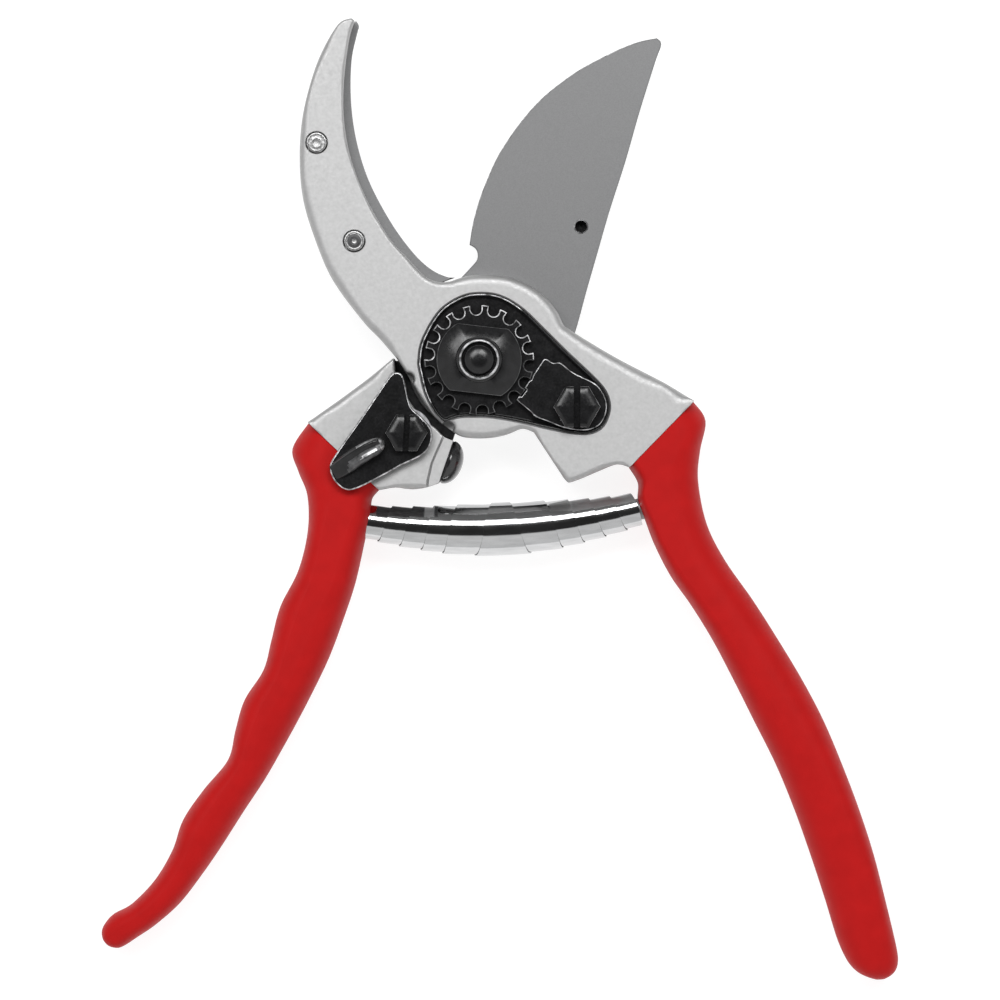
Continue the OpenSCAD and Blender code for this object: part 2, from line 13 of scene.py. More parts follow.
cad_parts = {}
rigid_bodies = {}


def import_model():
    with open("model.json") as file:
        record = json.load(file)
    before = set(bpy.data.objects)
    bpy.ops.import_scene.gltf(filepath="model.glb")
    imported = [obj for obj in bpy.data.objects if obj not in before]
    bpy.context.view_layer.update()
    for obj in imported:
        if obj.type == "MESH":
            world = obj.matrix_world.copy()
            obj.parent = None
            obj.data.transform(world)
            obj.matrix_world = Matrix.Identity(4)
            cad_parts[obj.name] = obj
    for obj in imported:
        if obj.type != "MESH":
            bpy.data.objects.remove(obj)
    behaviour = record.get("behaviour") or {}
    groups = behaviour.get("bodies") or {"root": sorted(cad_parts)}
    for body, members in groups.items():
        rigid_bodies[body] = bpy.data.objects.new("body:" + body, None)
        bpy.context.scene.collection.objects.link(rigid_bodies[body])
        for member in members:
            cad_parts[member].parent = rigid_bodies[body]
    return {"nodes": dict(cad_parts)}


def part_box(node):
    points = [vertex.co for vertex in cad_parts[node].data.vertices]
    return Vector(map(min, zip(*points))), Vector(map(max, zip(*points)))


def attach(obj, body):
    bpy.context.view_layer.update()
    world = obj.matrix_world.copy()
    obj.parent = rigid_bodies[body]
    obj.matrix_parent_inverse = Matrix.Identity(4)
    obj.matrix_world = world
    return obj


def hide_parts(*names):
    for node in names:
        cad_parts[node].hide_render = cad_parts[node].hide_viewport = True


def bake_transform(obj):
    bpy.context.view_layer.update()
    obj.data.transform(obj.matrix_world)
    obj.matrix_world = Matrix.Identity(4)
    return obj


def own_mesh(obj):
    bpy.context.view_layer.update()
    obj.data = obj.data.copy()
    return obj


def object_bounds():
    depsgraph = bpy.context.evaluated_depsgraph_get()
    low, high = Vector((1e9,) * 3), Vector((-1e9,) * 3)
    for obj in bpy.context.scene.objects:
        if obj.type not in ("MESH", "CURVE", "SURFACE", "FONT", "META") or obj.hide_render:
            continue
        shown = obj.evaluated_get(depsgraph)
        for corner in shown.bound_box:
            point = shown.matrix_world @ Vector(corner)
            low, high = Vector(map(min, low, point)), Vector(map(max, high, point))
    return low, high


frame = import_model()
CAD_BOX = [list(corner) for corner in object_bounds()]

bl_info = {
    "name": "Pruning Shears Builder",
    "version": (1, 0, 0),
    "blender": (4, 5, 0),
    "location": "3D View > Sidebar > Shears",
    "description": "Makes bypass pruning shears round a packed frame",
    "category": "Object",
}

MM = 0.001
ANVIL, BLADE, CATCH = "anvil_handle", "blade_handle", "thumb_catch"

# radii, in millimetres, of the turned parts that the bores are made to fit
BOLT, BUSH, SCREW, COLLAR, RIVET = 4.5, 6.2, 2.48, 3.2, 2.08


# ---------------------------------------------------------------- measures from the frame

def levels(node):
    """Lowest and highest level of a frame node, in millimetres."""
    low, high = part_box(node)
    return low.z / MM, high.z / MM


def middle(node):
    """Centre of a frame node's box, in millimetres."""
    low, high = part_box(node)
    return (low + high) / 2 / MM


def area(loop):
    """Signed area of a closed outline, above zero when it runs anticlockwise."""
    return sum(
        a[0] * b[1] - b[0] * a[1] for a, b in zip(loop, loop[1:] + loop[:1])
    ) / 2


def centroid(loop):
    """Mean of an outline's points."""
    return [sum(p[i] for p in loop) / len(loop) for i in (0, 1)]


def plan_loops(node, z):
    """Outlines of a node's flat faces at level z, largest first, anticlockwise, in millimetres."""
    mesh = frame["nodes"][node].data
    key = [tuple(round(c / MM, 3) for c in v.co) for v in mesh.vertices]
    count = {}
    for face in mesh.polygons:
        ring = [key[i] for i in face.vertices]
        if any(abs(p[2] - z) > 0.004 for p in ring):
            continue
        for a, b in zip(ring, ring[1:] + ring[:1]):
            if a[:2] != b[:2]:
                count[(a[:2], b[:2])] = count.get((a[:2], b[:2]), 0) + 1
    follow = {a: b for (a, b) in count if (b, a) not in count}
    loops = []
    while follow:
        start, b = follow.popitem()
        loop = [start]
        while b != start and b in follow:
            loop.append(b)
            b = follow.pop(b)
        if len(loop) > 2:
            loops.append(loop if area(loop) > 0 else loop[::-1])
    return sorted(loops, key=area, reverse=True)


# ---------------------------------------------------------------- outlines

FOLD_PASSES = 4  # times that each stride looks for folds
REACH_FLOOR = 0.3  # millimetres added to a distance, so that no named place outweighs all others


def turn_at(loop, i):
    """How sharply an outline turns at one point, in radians."""
    a, b, c = loop[i - 1], loop[i], loop[(i + 1) % len(loop)]
    u, v = (b[0] - a[0], b[1] - a[1]), (c[0] - b[0], c[1] - b[1])
    return abs(math.atan2(u[0] * v[1] - u[1] * v[0], u[0] * v[0] + u[1] * v[1]))


def through(a, b, c, d, t):
    """Point on the smooth curve from b to c."""
    return tuple(
        0.5 * (2 * q + (r - p) * t + (2 * p - 5 * q + 4 * r - s) * t * t
               + (3 * q - p - 3 * r + s) * t ** 3)
        for p, q, r, s in zip(a, b, c, d)
    )


def smooth_loop(loop, step=0.7, corner=32):
    """A closed outline drawn again with even, rounded steps that keeps its corners."""
    n = len(loop)
    sharp = [turn_at(loop, i) > math.radians(corner) for i in range(n)]
    out = []
    for i in range(n):
        b, c = loop[i], loop[(i + 1) % n]
        a = b if sharp[i] else loop[i - 1]
        d = c if sharp[(i + 1) % n] else loop[(i + 2) % n]
        parts = max(1, round(math.dist(b, c) / step))
        out += [through(a, b, c, d, k / parts) for k in range(parts)]
    return out


def smooth_run(points, parts=4):
    """An open run of points of any dimension, drawn again as a smooth curve."""
    out = []
    for i in range(len(points) - 1):
        a, d = points[max(i - 1, 0)], points[min(i + 2, len(points) - 1)]
        out += [through(a, points[i], points[i + 1], d, k / parts) for k in range(parts)]
    return out + [tuple(points[-1])]


def inward(ring):
    """The inward direction at each point of a ring, lengthened a little at its corners."""
    n = len(ring)
    edges = [ring[(i + 1) % n] - ring[i] for i in range(n)]
    out = []
    for i in range(n):
        before = next((edges[i - k] for k in range(1, 6) if edges[i - k].length > 1e-4), edges[i - 1])
        after = next((edges[(i + k) % n] for k in range(5) if edges[(i + k) % n].length > 1e-4), edges[i])
        u, v = before.normalized(), after.normalized()
        side = Vector((-u.y - v.y, u.x + v.x))
        if side.length < 1e-6:
            out.append(Vector((-v.y, v.x)))
            continue
        side.normalize()
        out.append(side / max(0.55, side.dot(Vector((-v.y, v.x)))))
    return out


def inset(loop, widths, stride=0.3):
    """The outline moved inward by a width at each point, in short strides that close up folds."""
    n = len(loop)
    ring = [Vector(p[:2]) for p in loop]
    strides = max(1, math.ceil(max(abs(w) for w in widths[:n]) / stride))
    for _ in range(strides):
        moved = [p + m * (w / strides) for p, m, w in zip(ring, inward(ring), widths)]
        for _ in range(FOLD_PASSES):
            for i in range(n):
                j = (i + 1) % n
                if (moved[j] - moved[i]).dot(ring[j] - ring[i]) < 0:
                    moved[i] = moved[j] = (moved[i] + moved[j]) / 2
        ring = moved
    return [tuple(p) for p in ring]


def shrink(loop, width):
    """The outline moved inward by one width all round, or outward where the width is below zero."""
    return inset(loop, [width] * len(loop))


def without(loop, first, second):
    """The outline without the shorter stretch, by area, between the points nearest two places."""
    i = min(range(len(loop)), key=lambda k: math.dist(loop[k], first))
    j = min(range(len(loop)), key=lambda k: math.dist(loop[k], second))
    if i > j:
        i, j = j, i
    outer, pocket = loop[:i + 1] + loop[j:], loop[i:j + 1]
    return max(outer, pocket, key=lambda part: abs(area(part)))


def circle(radius, centre=(0, 0), sides=64, start=0.0):
    return [
        (centre[0] + radius * math.cos(start + math.tau * k / sides),
         centre[1] + radius * math.sin(start + math.tau * k / sides))
        for k in range(sides)
    ]


def spread(anchors):
    """A function that gives a width for any place, shared between the nearest named places."""
    def width(p):
        weights = [(1 / (math.dist(p, a[:2]) + REACH_FLOOR) ** 3, a[2]) for a in anchors]
        return sum(w * v for w, v in weights) / sum(w for w, _ in weights)
    return width


# ---------------------------------------------------------------- meshes

def clean(mesh, near=0.0, thin=0.0, fill=False, outward=False):
    """Merges near points, drops thin faces, fills gaps and turns normals outward, as asked."""
    bm = bmesh.new()
    bm.from_mesh(mesh)
    if near:
        bmesh.ops.remove_doubles(bm, verts=bm.verts, dist=near)
        bmesh.ops.dissolve_degenerate(bm, edges=bm.edges, dist=thin)
    if fill:
        bmesh.ops.holes_fill(bm, edges=[e for e in bm.edges if e.is_boundary], sides=0)
    if outward:
        bmesh.ops.recalc_face_normals(bm, faces=bm.faces)
    bm.to_mesh(mesh)
    bm.free()


def mesh_object(name, points, faces):
    """A new object from points in millimetres."""
    mesh = bpy.data.meshes.new(name)
    mesh.from_pydata([tuple(c * MM for c in p) for p in points], [], faces)
    obj = bpy.data.objects.new(name, mesh)
    bpy.context.scene.collection.objects.link(obj)
    clean(mesh, near=1e-6, thin=1e-7, outward=True)
    return obj


def stack(name, rings):
    """A closed solid through rings of equal length, each a list of 3D points."""
    n = len(rings[0])
    points = [p for ring in rings for p in ring]
    faces = [
        (s * n + k, s * n + (k + 1) % n, (s + 1) * n + (k + 1) % n, (s + 1) * n + k)
        for s in range(len(rings) - 1) for k in range(n)
    ]
    faces += [tuple(range(n))[::-1], tuple((len(rings) - 1) * n + k for k in range(n))]
    return mesh_object(name, points, faces)


def rounding_drop(distance, width):
    """How far a rounded edge of a given width has dropped, at a distance in from the outline."""
    t = np.clip(1 - distance / np.maximum(width, 1e-6), 0, 1)
    return width * (1 - np.sqrt(np.maximum(0, 1 - t * t)))


def edge_distance(points, loop):
    """Distance from each point to the outline, and the number of its nearest stretch."""
    a = np.array(loop)
    b = np.roll(a, -1, axis=0)
    ab = b - a
    size = np.maximum((ab ** 2).sum(1), 1e-12)
    far, near = [], []
    for p in np.array(points):
        t = np.clip(((p - a) * ab).sum(1) / size, 0, 1)
        d = np.hypot(*(a + ab * t[:, None] - p).T)
        k = int(d.argmin())
        far.append(d[k])
        near.append(k)
    return np.array(far), near


ROWS = (0.06, 0.18, 0.36, 0.6, 0.85, 1.1)  # shares of a rounded edge's width with a row of points
ROW_STEP = 0.21  # least distance, in millimetres, between two points of a row


def face_sheet(loop, widths, z, way, drop):
    """One face of a plate: a fine sheet over the outline that rounds down at its edges."""
    n = len(loop)
    inner = []
    if max(widths) > 0.02:
        for share in ROWS:
            ring = inset(loop, [w * share for w in widths])
            distance, near = edge_distance(ring, loop)
            wanted = np.array([widths[k] for k in near]) * share
            last = None
            for p, d, w in zip(ring, distance, wanted):
                inside = d > 0.82 * w and d > 0.03
                if inside and (last is None or math.dist(p, last) > ROW_STEP):
                    inner.append(p)
                    last = p
        inner = [p for p in inner if within(p, loop)]
    points = [Vector(p) for p in loop + inner]
    edges = [(i, (i + 1) % n) for i in range(n)]
    out = mathutils.geometry.delaunay_2d_cdt(points, edges, [], 1, 1e-5)
    flat, faces, source = out[0], out[2], out[3]
    distance, near = edge_distance([tuple(p) for p in flat], loop)
    height = z - way * drop * rounding_drop(distance, np.array([widths[k] for k in near]))
    border = {}
    for i, from_points in enumerate(source):
        for k in from_points:
            if k < n:
                border[k] = i
                height[i] = z - way * drop * widths[k]
    return [(p.x, p.y, h) for p, h in zip(flat, height)], faces, border


def within(p, loop):
    """Whether a point lies inside an outline."""
    inside = False
    for (ax, ay), (bx, by) in zip(loop, loop[1:] + loop[:1]):
        if (ay > p[1]) != (by > p[1]) and p[0] < (bx - ax) * (p[1] - ay) / (by - ay) + ax:
            inside = not inside
    return inside


def slab(name, loop, z0, z1, top, bottom, drop=1.0):
    """A plate with rounded edges. Top and bottom are widths, or functions that give one for a place."""
    loop = [tuple(p[:2]) for p in loop]
    loop = [p for p, q in zip(loop, loop[1:] + loop[:1]) if math.dist(p, q) > 1e-3]
    n = len(loop)
    upper, lower = (
        face_sheet(loop, [width(p) if callable(width) else width for p in loop], z, way, fall)
        for width, z, way, fall in ((top, z1, 1, drop), (bottom, z0, -1, 1.0))
    )
    points = upper[0] + lower[0]
    first = len(upper[0])
    faces = [tuple(f) for f in upper[1]] + [tuple(first + i for i in f)[::-1] for f in lower[1]]
    for k in range(n):
        j = (k + 1) % n
        faces.append((upper[2][k], first + lower[2][k], first + lower[2][j], upper[2][j]))
    return mesh_object(name, points, faces)


def lathe(name, profile, sides=96, place=None):
    """A turned solid from a list of (radius, height); place is a matrix in millimetres."""
    rings = [[(max(r, 1e-4) * c, max(r, 1e-4) * s, z) for c, s in circle(1, sides=sides)]
             for r, z in profile]
    obj = stack(name, rings)
    if place is not None:
        obj.data.transform(Matrix.Scale(MM, 4) @ place @ Matrix.Scale(1 / MM, 4))
    return obj


def baked(obj):
    """The object's evaluated mesh, with every modifier used up."""
    graph = bpy.context.evaluated_depsgraph_get()
    mesh = bpy.data.meshes.new_from_object(
        obj.evaluated_get(graph), preserve_all_data_layers=True, depsgraph=graph
    )
    obj.modifiers.clear()
    old, obj.data = obj.data, mesh
    mesh.name = obj.name
    if old.users == 0:
        bpy.data.meshes.remove(old)
    return obj


def combine(obj, tools, operation="DIFFERENCE"):
    """Cuts the tools from the object, or joins them to it, and removes the tools."""
    for tool in tools:
        step = obj.modifiers.new("combine", "BOOLEAN")
        step.object, step.operation, step.solver = tool, operation, "EXACT"
        bpy.context.view_layer.update()
        baked(obj)
        bpy.data.objects.remove(tool)
    return obj


def dress(obj, *materials):
    """Gives a mesh its finishes, and keeps which face wears which."""
    worn = [face.material_index for face in obj.data.polygons]
    obj.data.materials.clear()
    for material in materials:
        obj.data.materials.append(material)
    last = len(materials) - 1
    obj.data.polygons.foreach_set("material_index", [min(i, last) for i in worn])


def paint(obj, index, chosen):
    """Marks the faces that pass a test on their centre, in millimetres, and their normal."""
    for face in obj.data.polygons:
        if chosen(face.center / MM, face.normal):
            face.material_index = index


def finish_piece(obj, body, material, slot, *nodes, sharp=38, also=()):
    """Cleans the mesh, shades it, gives it its finish and hangs it on its body."""
    clean(obj.data, near=2e-6, thin=1e-6, fill=True)
    obj.data.shade_smooth()
    obj.data.set_sharp_from_angle(angle=math.radians(sharp))
    step = obj.modifiers.new("even", "WEIGHTED_NORMAL")
    step.keep_sharp, step.weight = True, 60
    baked(obj)
    dress(obj, material, *also)
    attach(obj, body)
    if nodes:
        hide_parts(*nodes)
    return obj


def finish_black(obj, body, node, sharp, *worn):
    """Finishes a blackened piece, with the finishes of its worn faces and of the faces that carry painted
    highlight and shade.
    """
    return finish_piece(obj, body, black_finish(), "black_steel", node, sharp=sharp, also=worn)


# ---------------------------------------------------------------- geometry node trees

class Tree:
    """A small helper that builds one geometry node tree with named inputs."""

    def __init__(self, name, inputs):
        self.group = bpy.data.node_groups.new(name, "GeometryNodeTree")
        face = self.group.interface
        face.new_socket("Geometry", in_out="OUTPUT", socket_type="NodeSocketGeometry")
        self.ids = {}
        for label, kind, value in inputs:
            item = face.new_socket(label, in_out="INPUT", socket_type="NodeSocket" + kind)
            if value is not None:
                item.default_value = value
            self.ids[label] = item.identifier
        self.inputs = self.group.nodes.new("NodeGroupInput").outputs

    def node(self, kind, links=(), **settings):
        made = self.group.nodes.new(kind)
        for field, value in settings.items():
            setattr(made, field, value)
        for socket, value in dict(links).items():
            self.feed(made.inputs[socket], value)
        return made

    def feed(self, socket, value):
        if isinstance(value, bpy.types.NodeSocket):
            self.group.links.new(value, socket)
        elif isinstance(value, bpy.types.Node):
            self.group.links.new(value.outputs[0], socket)
        else:
            socket.default_value = value

    def math(self, operation, a, b=0.0, c=0.0):
        made = self.node("ShaderNodeMath", operation=operation)
        for socket, value in zip(made.inputs, (a, b, c)):
            self.feed(socket, value)
        return made.outputs[0]

    def sum(self, *terms):
        total = terms[0]
        for term in terms[1:]:
            total = self.math("ADD", total, term)
        return total

    def times(self, *terms):
        total = terms[0]
        for term in terms[1:]:
            total = self.math("MULTIPLY", total, term)
        return total

    def along_z(self, value):
        return self.node("ShaderNodeCombineXYZ", {"Z": value})

    def finish(self, geometry, material):
        """Realizes the instances, gives them a material and sends them out."""
        real = self.node("GeometryNodeRealizeInstances", {"Geometry": geometry})
        dressed = self.node("GeometryNodeSetMaterial", {"Geometry": real})
        dressed.inputs["Material"].default_value = material
        out = self.group.nodes.new("NodeGroupOutput")
        self.group.links.new(dressed.outputs[0], out.inputs[0])

    def grow(self, name, values):
        """An object carrying this tree, with its inputs set, turned into a plain mesh."""
        obj = bpy.data.objects.new(name, bpy.data.meshes.new(name))
        step = obj.modifiers.new("grow", "NODES")
        step.node_group = self.group
        for label, value in values.items():
            step[self.ids[label]] = value
        bpy.context.scene.collection.objects.link(obj)
        bpy.context.view_layer.update()
        baked(obj)
        for face in obj.data.polygons:
            face.material_index = 0
        return obj


# ---------------------------------------------------------------- finishes

def mapped(tree, value, source, target, kind="LINEAR"):
    """A node that carries one stretch of values to another."""
    made = tree.nodes.new("ShaderNodeMapRange")
    made.interpolation_type = kind
    for socket, number in zip(("From Min", "From Max", "To Min", "To Max"), (*source, *target)):
        made.inputs[socket].default_value = number
    tree.links.new(value, made.inputs["Value"])
    return made.outputs[0]


class Finish:
    """Builds one procedural material: noise layers into colour, roughness and bump."""

    def __init__(self, name, colour, metallic, roughness, **sockets):
        self.material = bpy.data.materials.new(name)
        self.material.use_nodes = True
        self.nodes, self.links = self.material.node_tree.nodes, self.material.node_tree.links
        self.shader = self.nodes["Principled BSDF"]
        self.shader.inputs["Base Color"].default_value = (*colour, 1)
        self.shader.inputs["Metallic"].default_value = metallic
        self.shader.inputs["Roughness"].default_value = roughness
        for socket, value in sockets.items():
            self.shader.inputs[socket.replace("_", " ")].default_value = value
        self.place = self.nodes.new("ShaderNodeTexCoord").outputs["Object"]
        self.colour, self.roughness, self.height = colour, roughness, None

    def noise(self, scale, detail=3.0, stretch=(1, 1, 1), turn=0.0):
        mapping = self.nodes.new("ShaderNodeMapping")
        mapping.inputs["Scale"].default_value = stretch
        mapping.inputs["Rotation"].default_value = (0, 0, turn)
        grain = self.nodes.new("ShaderNodeTexNoise")
        grain.inputs["Scale"].default_value = scale
        grain.inputs["Detail"].default_value = detail
        self.links.new(self.place, mapping.inputs[0])
        self.links.new(mapping.outputs[0], grain.inputs["Vector"])
        return grain.outputs["Fac"]

    def range(self, value, low, high):
        """The middle of a noise's spread, carried to run from low to high."""
        return mapped(self.material.node_tree, value, (0.3, 0.7), (low, high))

    def mottle(self, value, darker, lighter):
        """Colour drifts between a darker and a lighter multiple of the base."""
        mix = self.nodes.new("ShaderNodeMix")
        mix.data_type = "RGBA"
        mix.inputs["A"].default_value = (*[c * darker for c in self.colour], 1)
        mix.inputs["B"].default_value = (*[min(1, c * lighter) for c in self.colour], 1)
        self.links.new(self.range(value, 0, 1), mix.inputs["Factor"])
        self.links.new(mix.outputs["Result"], self.shader.inputs["Base Color"])
        return self

    def dull(self, value, amount):
        """Roughness drifts by an amount to either side of the base."""
        low, high = self.roughness - amount, self.roughness + amount
        self.links.new(self.range(value, low, high), self.shader.inputs["Roughness"])
        return self

    def bump(self, value, depth, strength):
        """Relief of a depth in millimetres, laid over any relief added before it."""
        made = self.nodes.new("ShaderNodeBump")
        made.inputs["Strength"].default_value = strength
        made.inputs["Distance"].default_value = depth * MM
        self.links.new(value, made.inputs["Height"])
        if self.height is not None:
            self.links.new(self.height, made.inputs["Normal"])
        self.height = made.outputs[0]
        self.links.new(self.height, self.shader.inputs["Normal"])
        return self


def made_once(build):
    """A finish is built the first time it is asked for and shared afterwards."""
    def get():
        name = build.__name__ + "_finish"
        if name not in bpy.data.materials:
            made = build(name)
            made.material.name = name
        return bpy.data.materials[name]
    return get


@made_once
def cast_aluminium(name):
    look = bpy.context.scene.shears_metal
    made = Finish(name, look.cast_colour[:], 1.0, look.cast_roughness)
    fine, coarse = made.noise(5200, 4), made.noise(900, 3)
    made.mottle(coarse, 0.95, 1.03).dull(made.noise(1700, 3), 0.06)
    return made.bump(fine, 0.012, 0.55).bump(coarse, 0.03, 0.35)


@made_once
def ground_steel(name):
    look = bpy.context.scene.shears_metal
    made = Finish(name, look.steel_colour[:], 1.0, look.steel_roughness)
    grain, streak = made.noise(4600, 4), made.noise(4200, 4, (1.0, 0.2, 1.0), 0.28)
    made.mottle(grain, 0.9, 1.08).dull(grain, 0.03)
    return made.bump(grain, 0.008, 0.4).bump(streak, 0.004, 0.2)


@made_once
def turned_alloy(name):
    look = bpy.context.scene.shears_metal
    made = Finish(name, [0.95 * c for c in look.cast_colour], 1.0, 0.45)
    grain = made.noise(2300, 4)
    return made.mottle(grain, 0.45, 1.15).dull(grain, 0.06).bump(made.noise(1300, 3), 0.09, 0.8)


@made_once
def black_finish(name):
    look = bpy.context.scene.shears_metal
    made = Finish(name, look.black_colour[:], 0.0, look.black_roughness, Specular_IOR_Level=0.4)
    grain = made.noise(2300, 4)
    made.mottle(made.noise(500, 3), 0.7, 1.5).dull(grain, 0.06)
    return made.bump(grain, 0.012, 0.5)


@made_once
def worn_edge(name):
    """Steel that shows where the black has rubbed off, also used as a painted highlight on edges and rims that
    face the lights.
    """
    made = Finish(name, (0.6, 0.6, 0.61), 1.0, 0.42)
    patches = made.noise(900, 4)
    return made.mottle(patches, 0.12, 1.5).dull(patches, 0.08).bump(made.noise(3000, 3), 0.01, 0.4)


@made_once
def dull_edge(name):
    """The same edges where the black has only thinned; also painted shade on the unlit rims of the nut's gaps,
    and a painted sheen on the south half of the catch's rib.
    """
    made = Finish(name, (0.1, 0.1, 0.102), 0.8, 0.45)
    patches = made.noise(900, 4)
    return made.mottle(patches, 0.5, 1.5).dull(patches, 0.08).bump(made.noise(3000, 3), 0.01, 0.4)


@made_once
def oiled_cast(name):
    """Dark casting: painted shade on the arm in the gap beside the boss, and the darker centre of the lower
    rivet.
    """
    made = Finish(name, (0.075, 0.075, 0.077), 0.6, 0.55)
    patches = made.noise(700, 4)
    return made.mottle(patches, 0.6, 1.5).dull(patches, 0.1).bump(made.noise(2500, 3), 0.02, 0.5)


@made_once
def red_vinyl(name):
    look = bpy.context.scene.shears_grips
    made = Finish(name, look.colour[:], 0.0, look.roughness, Specular_IOR_Level=0.06)
    made.mottle(made.noise(260, 2), 0.95, 1.04).dull(made.noise(700, 3), 0.04)
    return made.bump(made.noise(2400, 3), 0.008, 0.4)


@made_once
def bright_chrome(name):
    look = bpy.context.scene.shears_spring
    made = Finish(name, look.colour[:], 1.0, look.roughness)
    draw = made.noise(900, 3, (0.2, 1.0, 1.0))
    return made.mottle(draw, 0.88, 1.05).dull(draw, 0.03).bump(draw, 0.008, 0.3)


@made_once
def zinc_plate(name):
    made = Finish(name, (0.5, 0.5, 0.52), 1.0, 0.34)
    grain = made.noise(1500, 3)
    return made.mottle(grain, 0.85, 1.08).dull(grain, 0.08).bump(made.noise(3500, 3), 0.01, 0.4)


@made_once
def bush_brass(name):
    made = Finish(name, (0.62, 0.42, 0.16), 1.0, 0.32)
    grain = made.noise(1300, 3, (1, 1, 6))
    return made.mottle(grain, 0.82, 1.1).dull(grain, 0.07).bump(grain, 0.01, 0.4)


@made_once
def black_rubber(name):
    made = Finish(name, (0.012, 0.012, 0.013), 0.0, 0.25, Coat_Weight=0.7, Coat_Roughness=0.08)
    grain = made.noise(1200, 3)
    return made.mottle(grain, 0.7, 1.4).dull(grain, 0.08).bump(grain, 0.02, 0.5)


# ---------------------------------------------------------------- settings

def tint(name, text, value):
    return FloatVectorProperty(
        name=name, description=text, subtype="COLOR", default=value, min=0, max=1)


def amount(name, text, value, low, high, **kind):
    return FloatProperty(name=name, description=text, default=value, min=low, max=high, **kind)


def count(name, text, value, low, high):
    return IntProperty(name=name, description=text, default=value, min=low, max=high)


class ShearsMetal(PropertyGroup):
    cast_colour: tint("Cast colour", "Colour of the cast aluminium handles", (0.475, 0.475, 0.475))
    cast_roughness: amount("Cast roughness", "How matt the castings are", 0.57, 0.2, 0.8)
    steel_colour: tint("Steel colour", "Colour of both blades", (0.2, 0.201, 0.203))
    steel_roughness: amount("Steel roughness", "How matt the blades are", 0.5, 0.2, 0.8)
    black_colour: tint("Black colour", "Colour of the blackened steel parts", (0.009, 0.009, 0.0095))
    black_roughness: amount("Black roughness", "Gloss of the blackened parts", 0.21, 0.05, 0.6)


class ShearsGrips(PropertyGroup):
    colour: tint("Grip colour", "Colour of the dipped covering", (0.44, 0.01, 0.01))
    roughness: amount("Grip roughness", "Gloss of the covering", 0.48, 0.1, 0.8)
    sides: count("Points round", "Points round one section", 56, 24, 96)


class ShearsNut(PropertyGroup):
    teeth: count("Teeth", "Teeth round the locking nut", 18, 12, 24)
    root: amount("Root radius", "Radius at the bottom of the tooth gaps, in millimetres", 9.0, 8, 10)
    gap: amount("Gap radius", "Radius of the round bottom of a gap, in millimetres", 1.15, 0.8, 1.4)
    rim: amount("Worn rim", "Width of the worn rim round a gap, in millimetres", 0.2, 0.1, 0.5)
    phase: amount(
        "First gap", "Angle of the first tooth gap", math.radians(13.5), 0, 6.3, subtype="ANGLE")
    flats: amount("Over flats", "Distance over the key flats, in millimetres", 13.4, 11, 15)
    turn: amount("Flat angle", "Angle of the key flats", math.radians(-6.5), -1, 1, subtype="ANGLE")


class ShearsSpring(PropertyGroup):
    colour: tint("Spring colour", "Colour of the plated strip", (0.6, 0.605, 0.61))
    roughness: amount("Spring roughness", "Gloss of the strip", 0.1, 0.02, 0.5)
    turns: amount("Layers", "Turns of strip over each half", 5.8, 4, 8)
    steps: count("Steps per turn", "Mesh steps in one turn", 52, 16, 96)
    pitch: amount("Pitch", "How far each turn shows past the next, in millimetres", 4.25, 3, 6)
    thick: amount("Strip thickness", "Thickness of the strip, in millimetres", 0.22, 0.1, 0.4)
    middle_radius: amount("Middle radius", "Radius of the widest turn, in millimetres", 5.5, 4, 7)


class ShearsStage(PropertyGroup):
    floor_colour: tint("Floor colour", "Colour of the plain floor", (0.25, 0.25, 0.25))
    floor_glow: amount("Floor glow", "How much the floor is lit from beneath", 0.85, 0, 2)
    light_power: amount("Light power", "Power of each soft light", 19.0, 1, 200, unit="POWER")
    light_distance: amount(
        "Light distance", "Distance of the lights", 2.5, 0.5, 5, unit="LENGTH", subtype="DISTANCE")
    side_glow: amount("Side glow", "Brightness of the surround on the near side", 0.75, 0, 2)
    far_glow: amount("Far glow", "Brightness of the surround on the far side", 0.14, 0, 2)
    zenith_glow: amount("Overhead glow", "Brightness of the surround overhead", 0.03, 0, 2)
    lens: amount("Lens", "Focal length in millimetres", 200, 50, 300)
    field: amount("Field", "Width that the camera sees at the object", 0.2, 0.1, 0.5,
                  unit="LENGTH", subtype="DISTANCE")


# ---------------------------------------------------------------- cast handles

def hole(loop, z0, z1, grow=0.0, flare=0.0):
    """A cutter in the shape of a plan loop, flared for a soft rim at z1 and 1 mm taller than that."""
    wide, rim = shrink(loop, -grow), shrink(loop, -grow - flare)
    rings = [[(*p, z0) for p in wide], [(*p, z1 - flare) for p in wide],
             [(*p, z1) for p in rim], [(*p, z1 + 1) for p in rim]]
    return stack("cutter", rings)


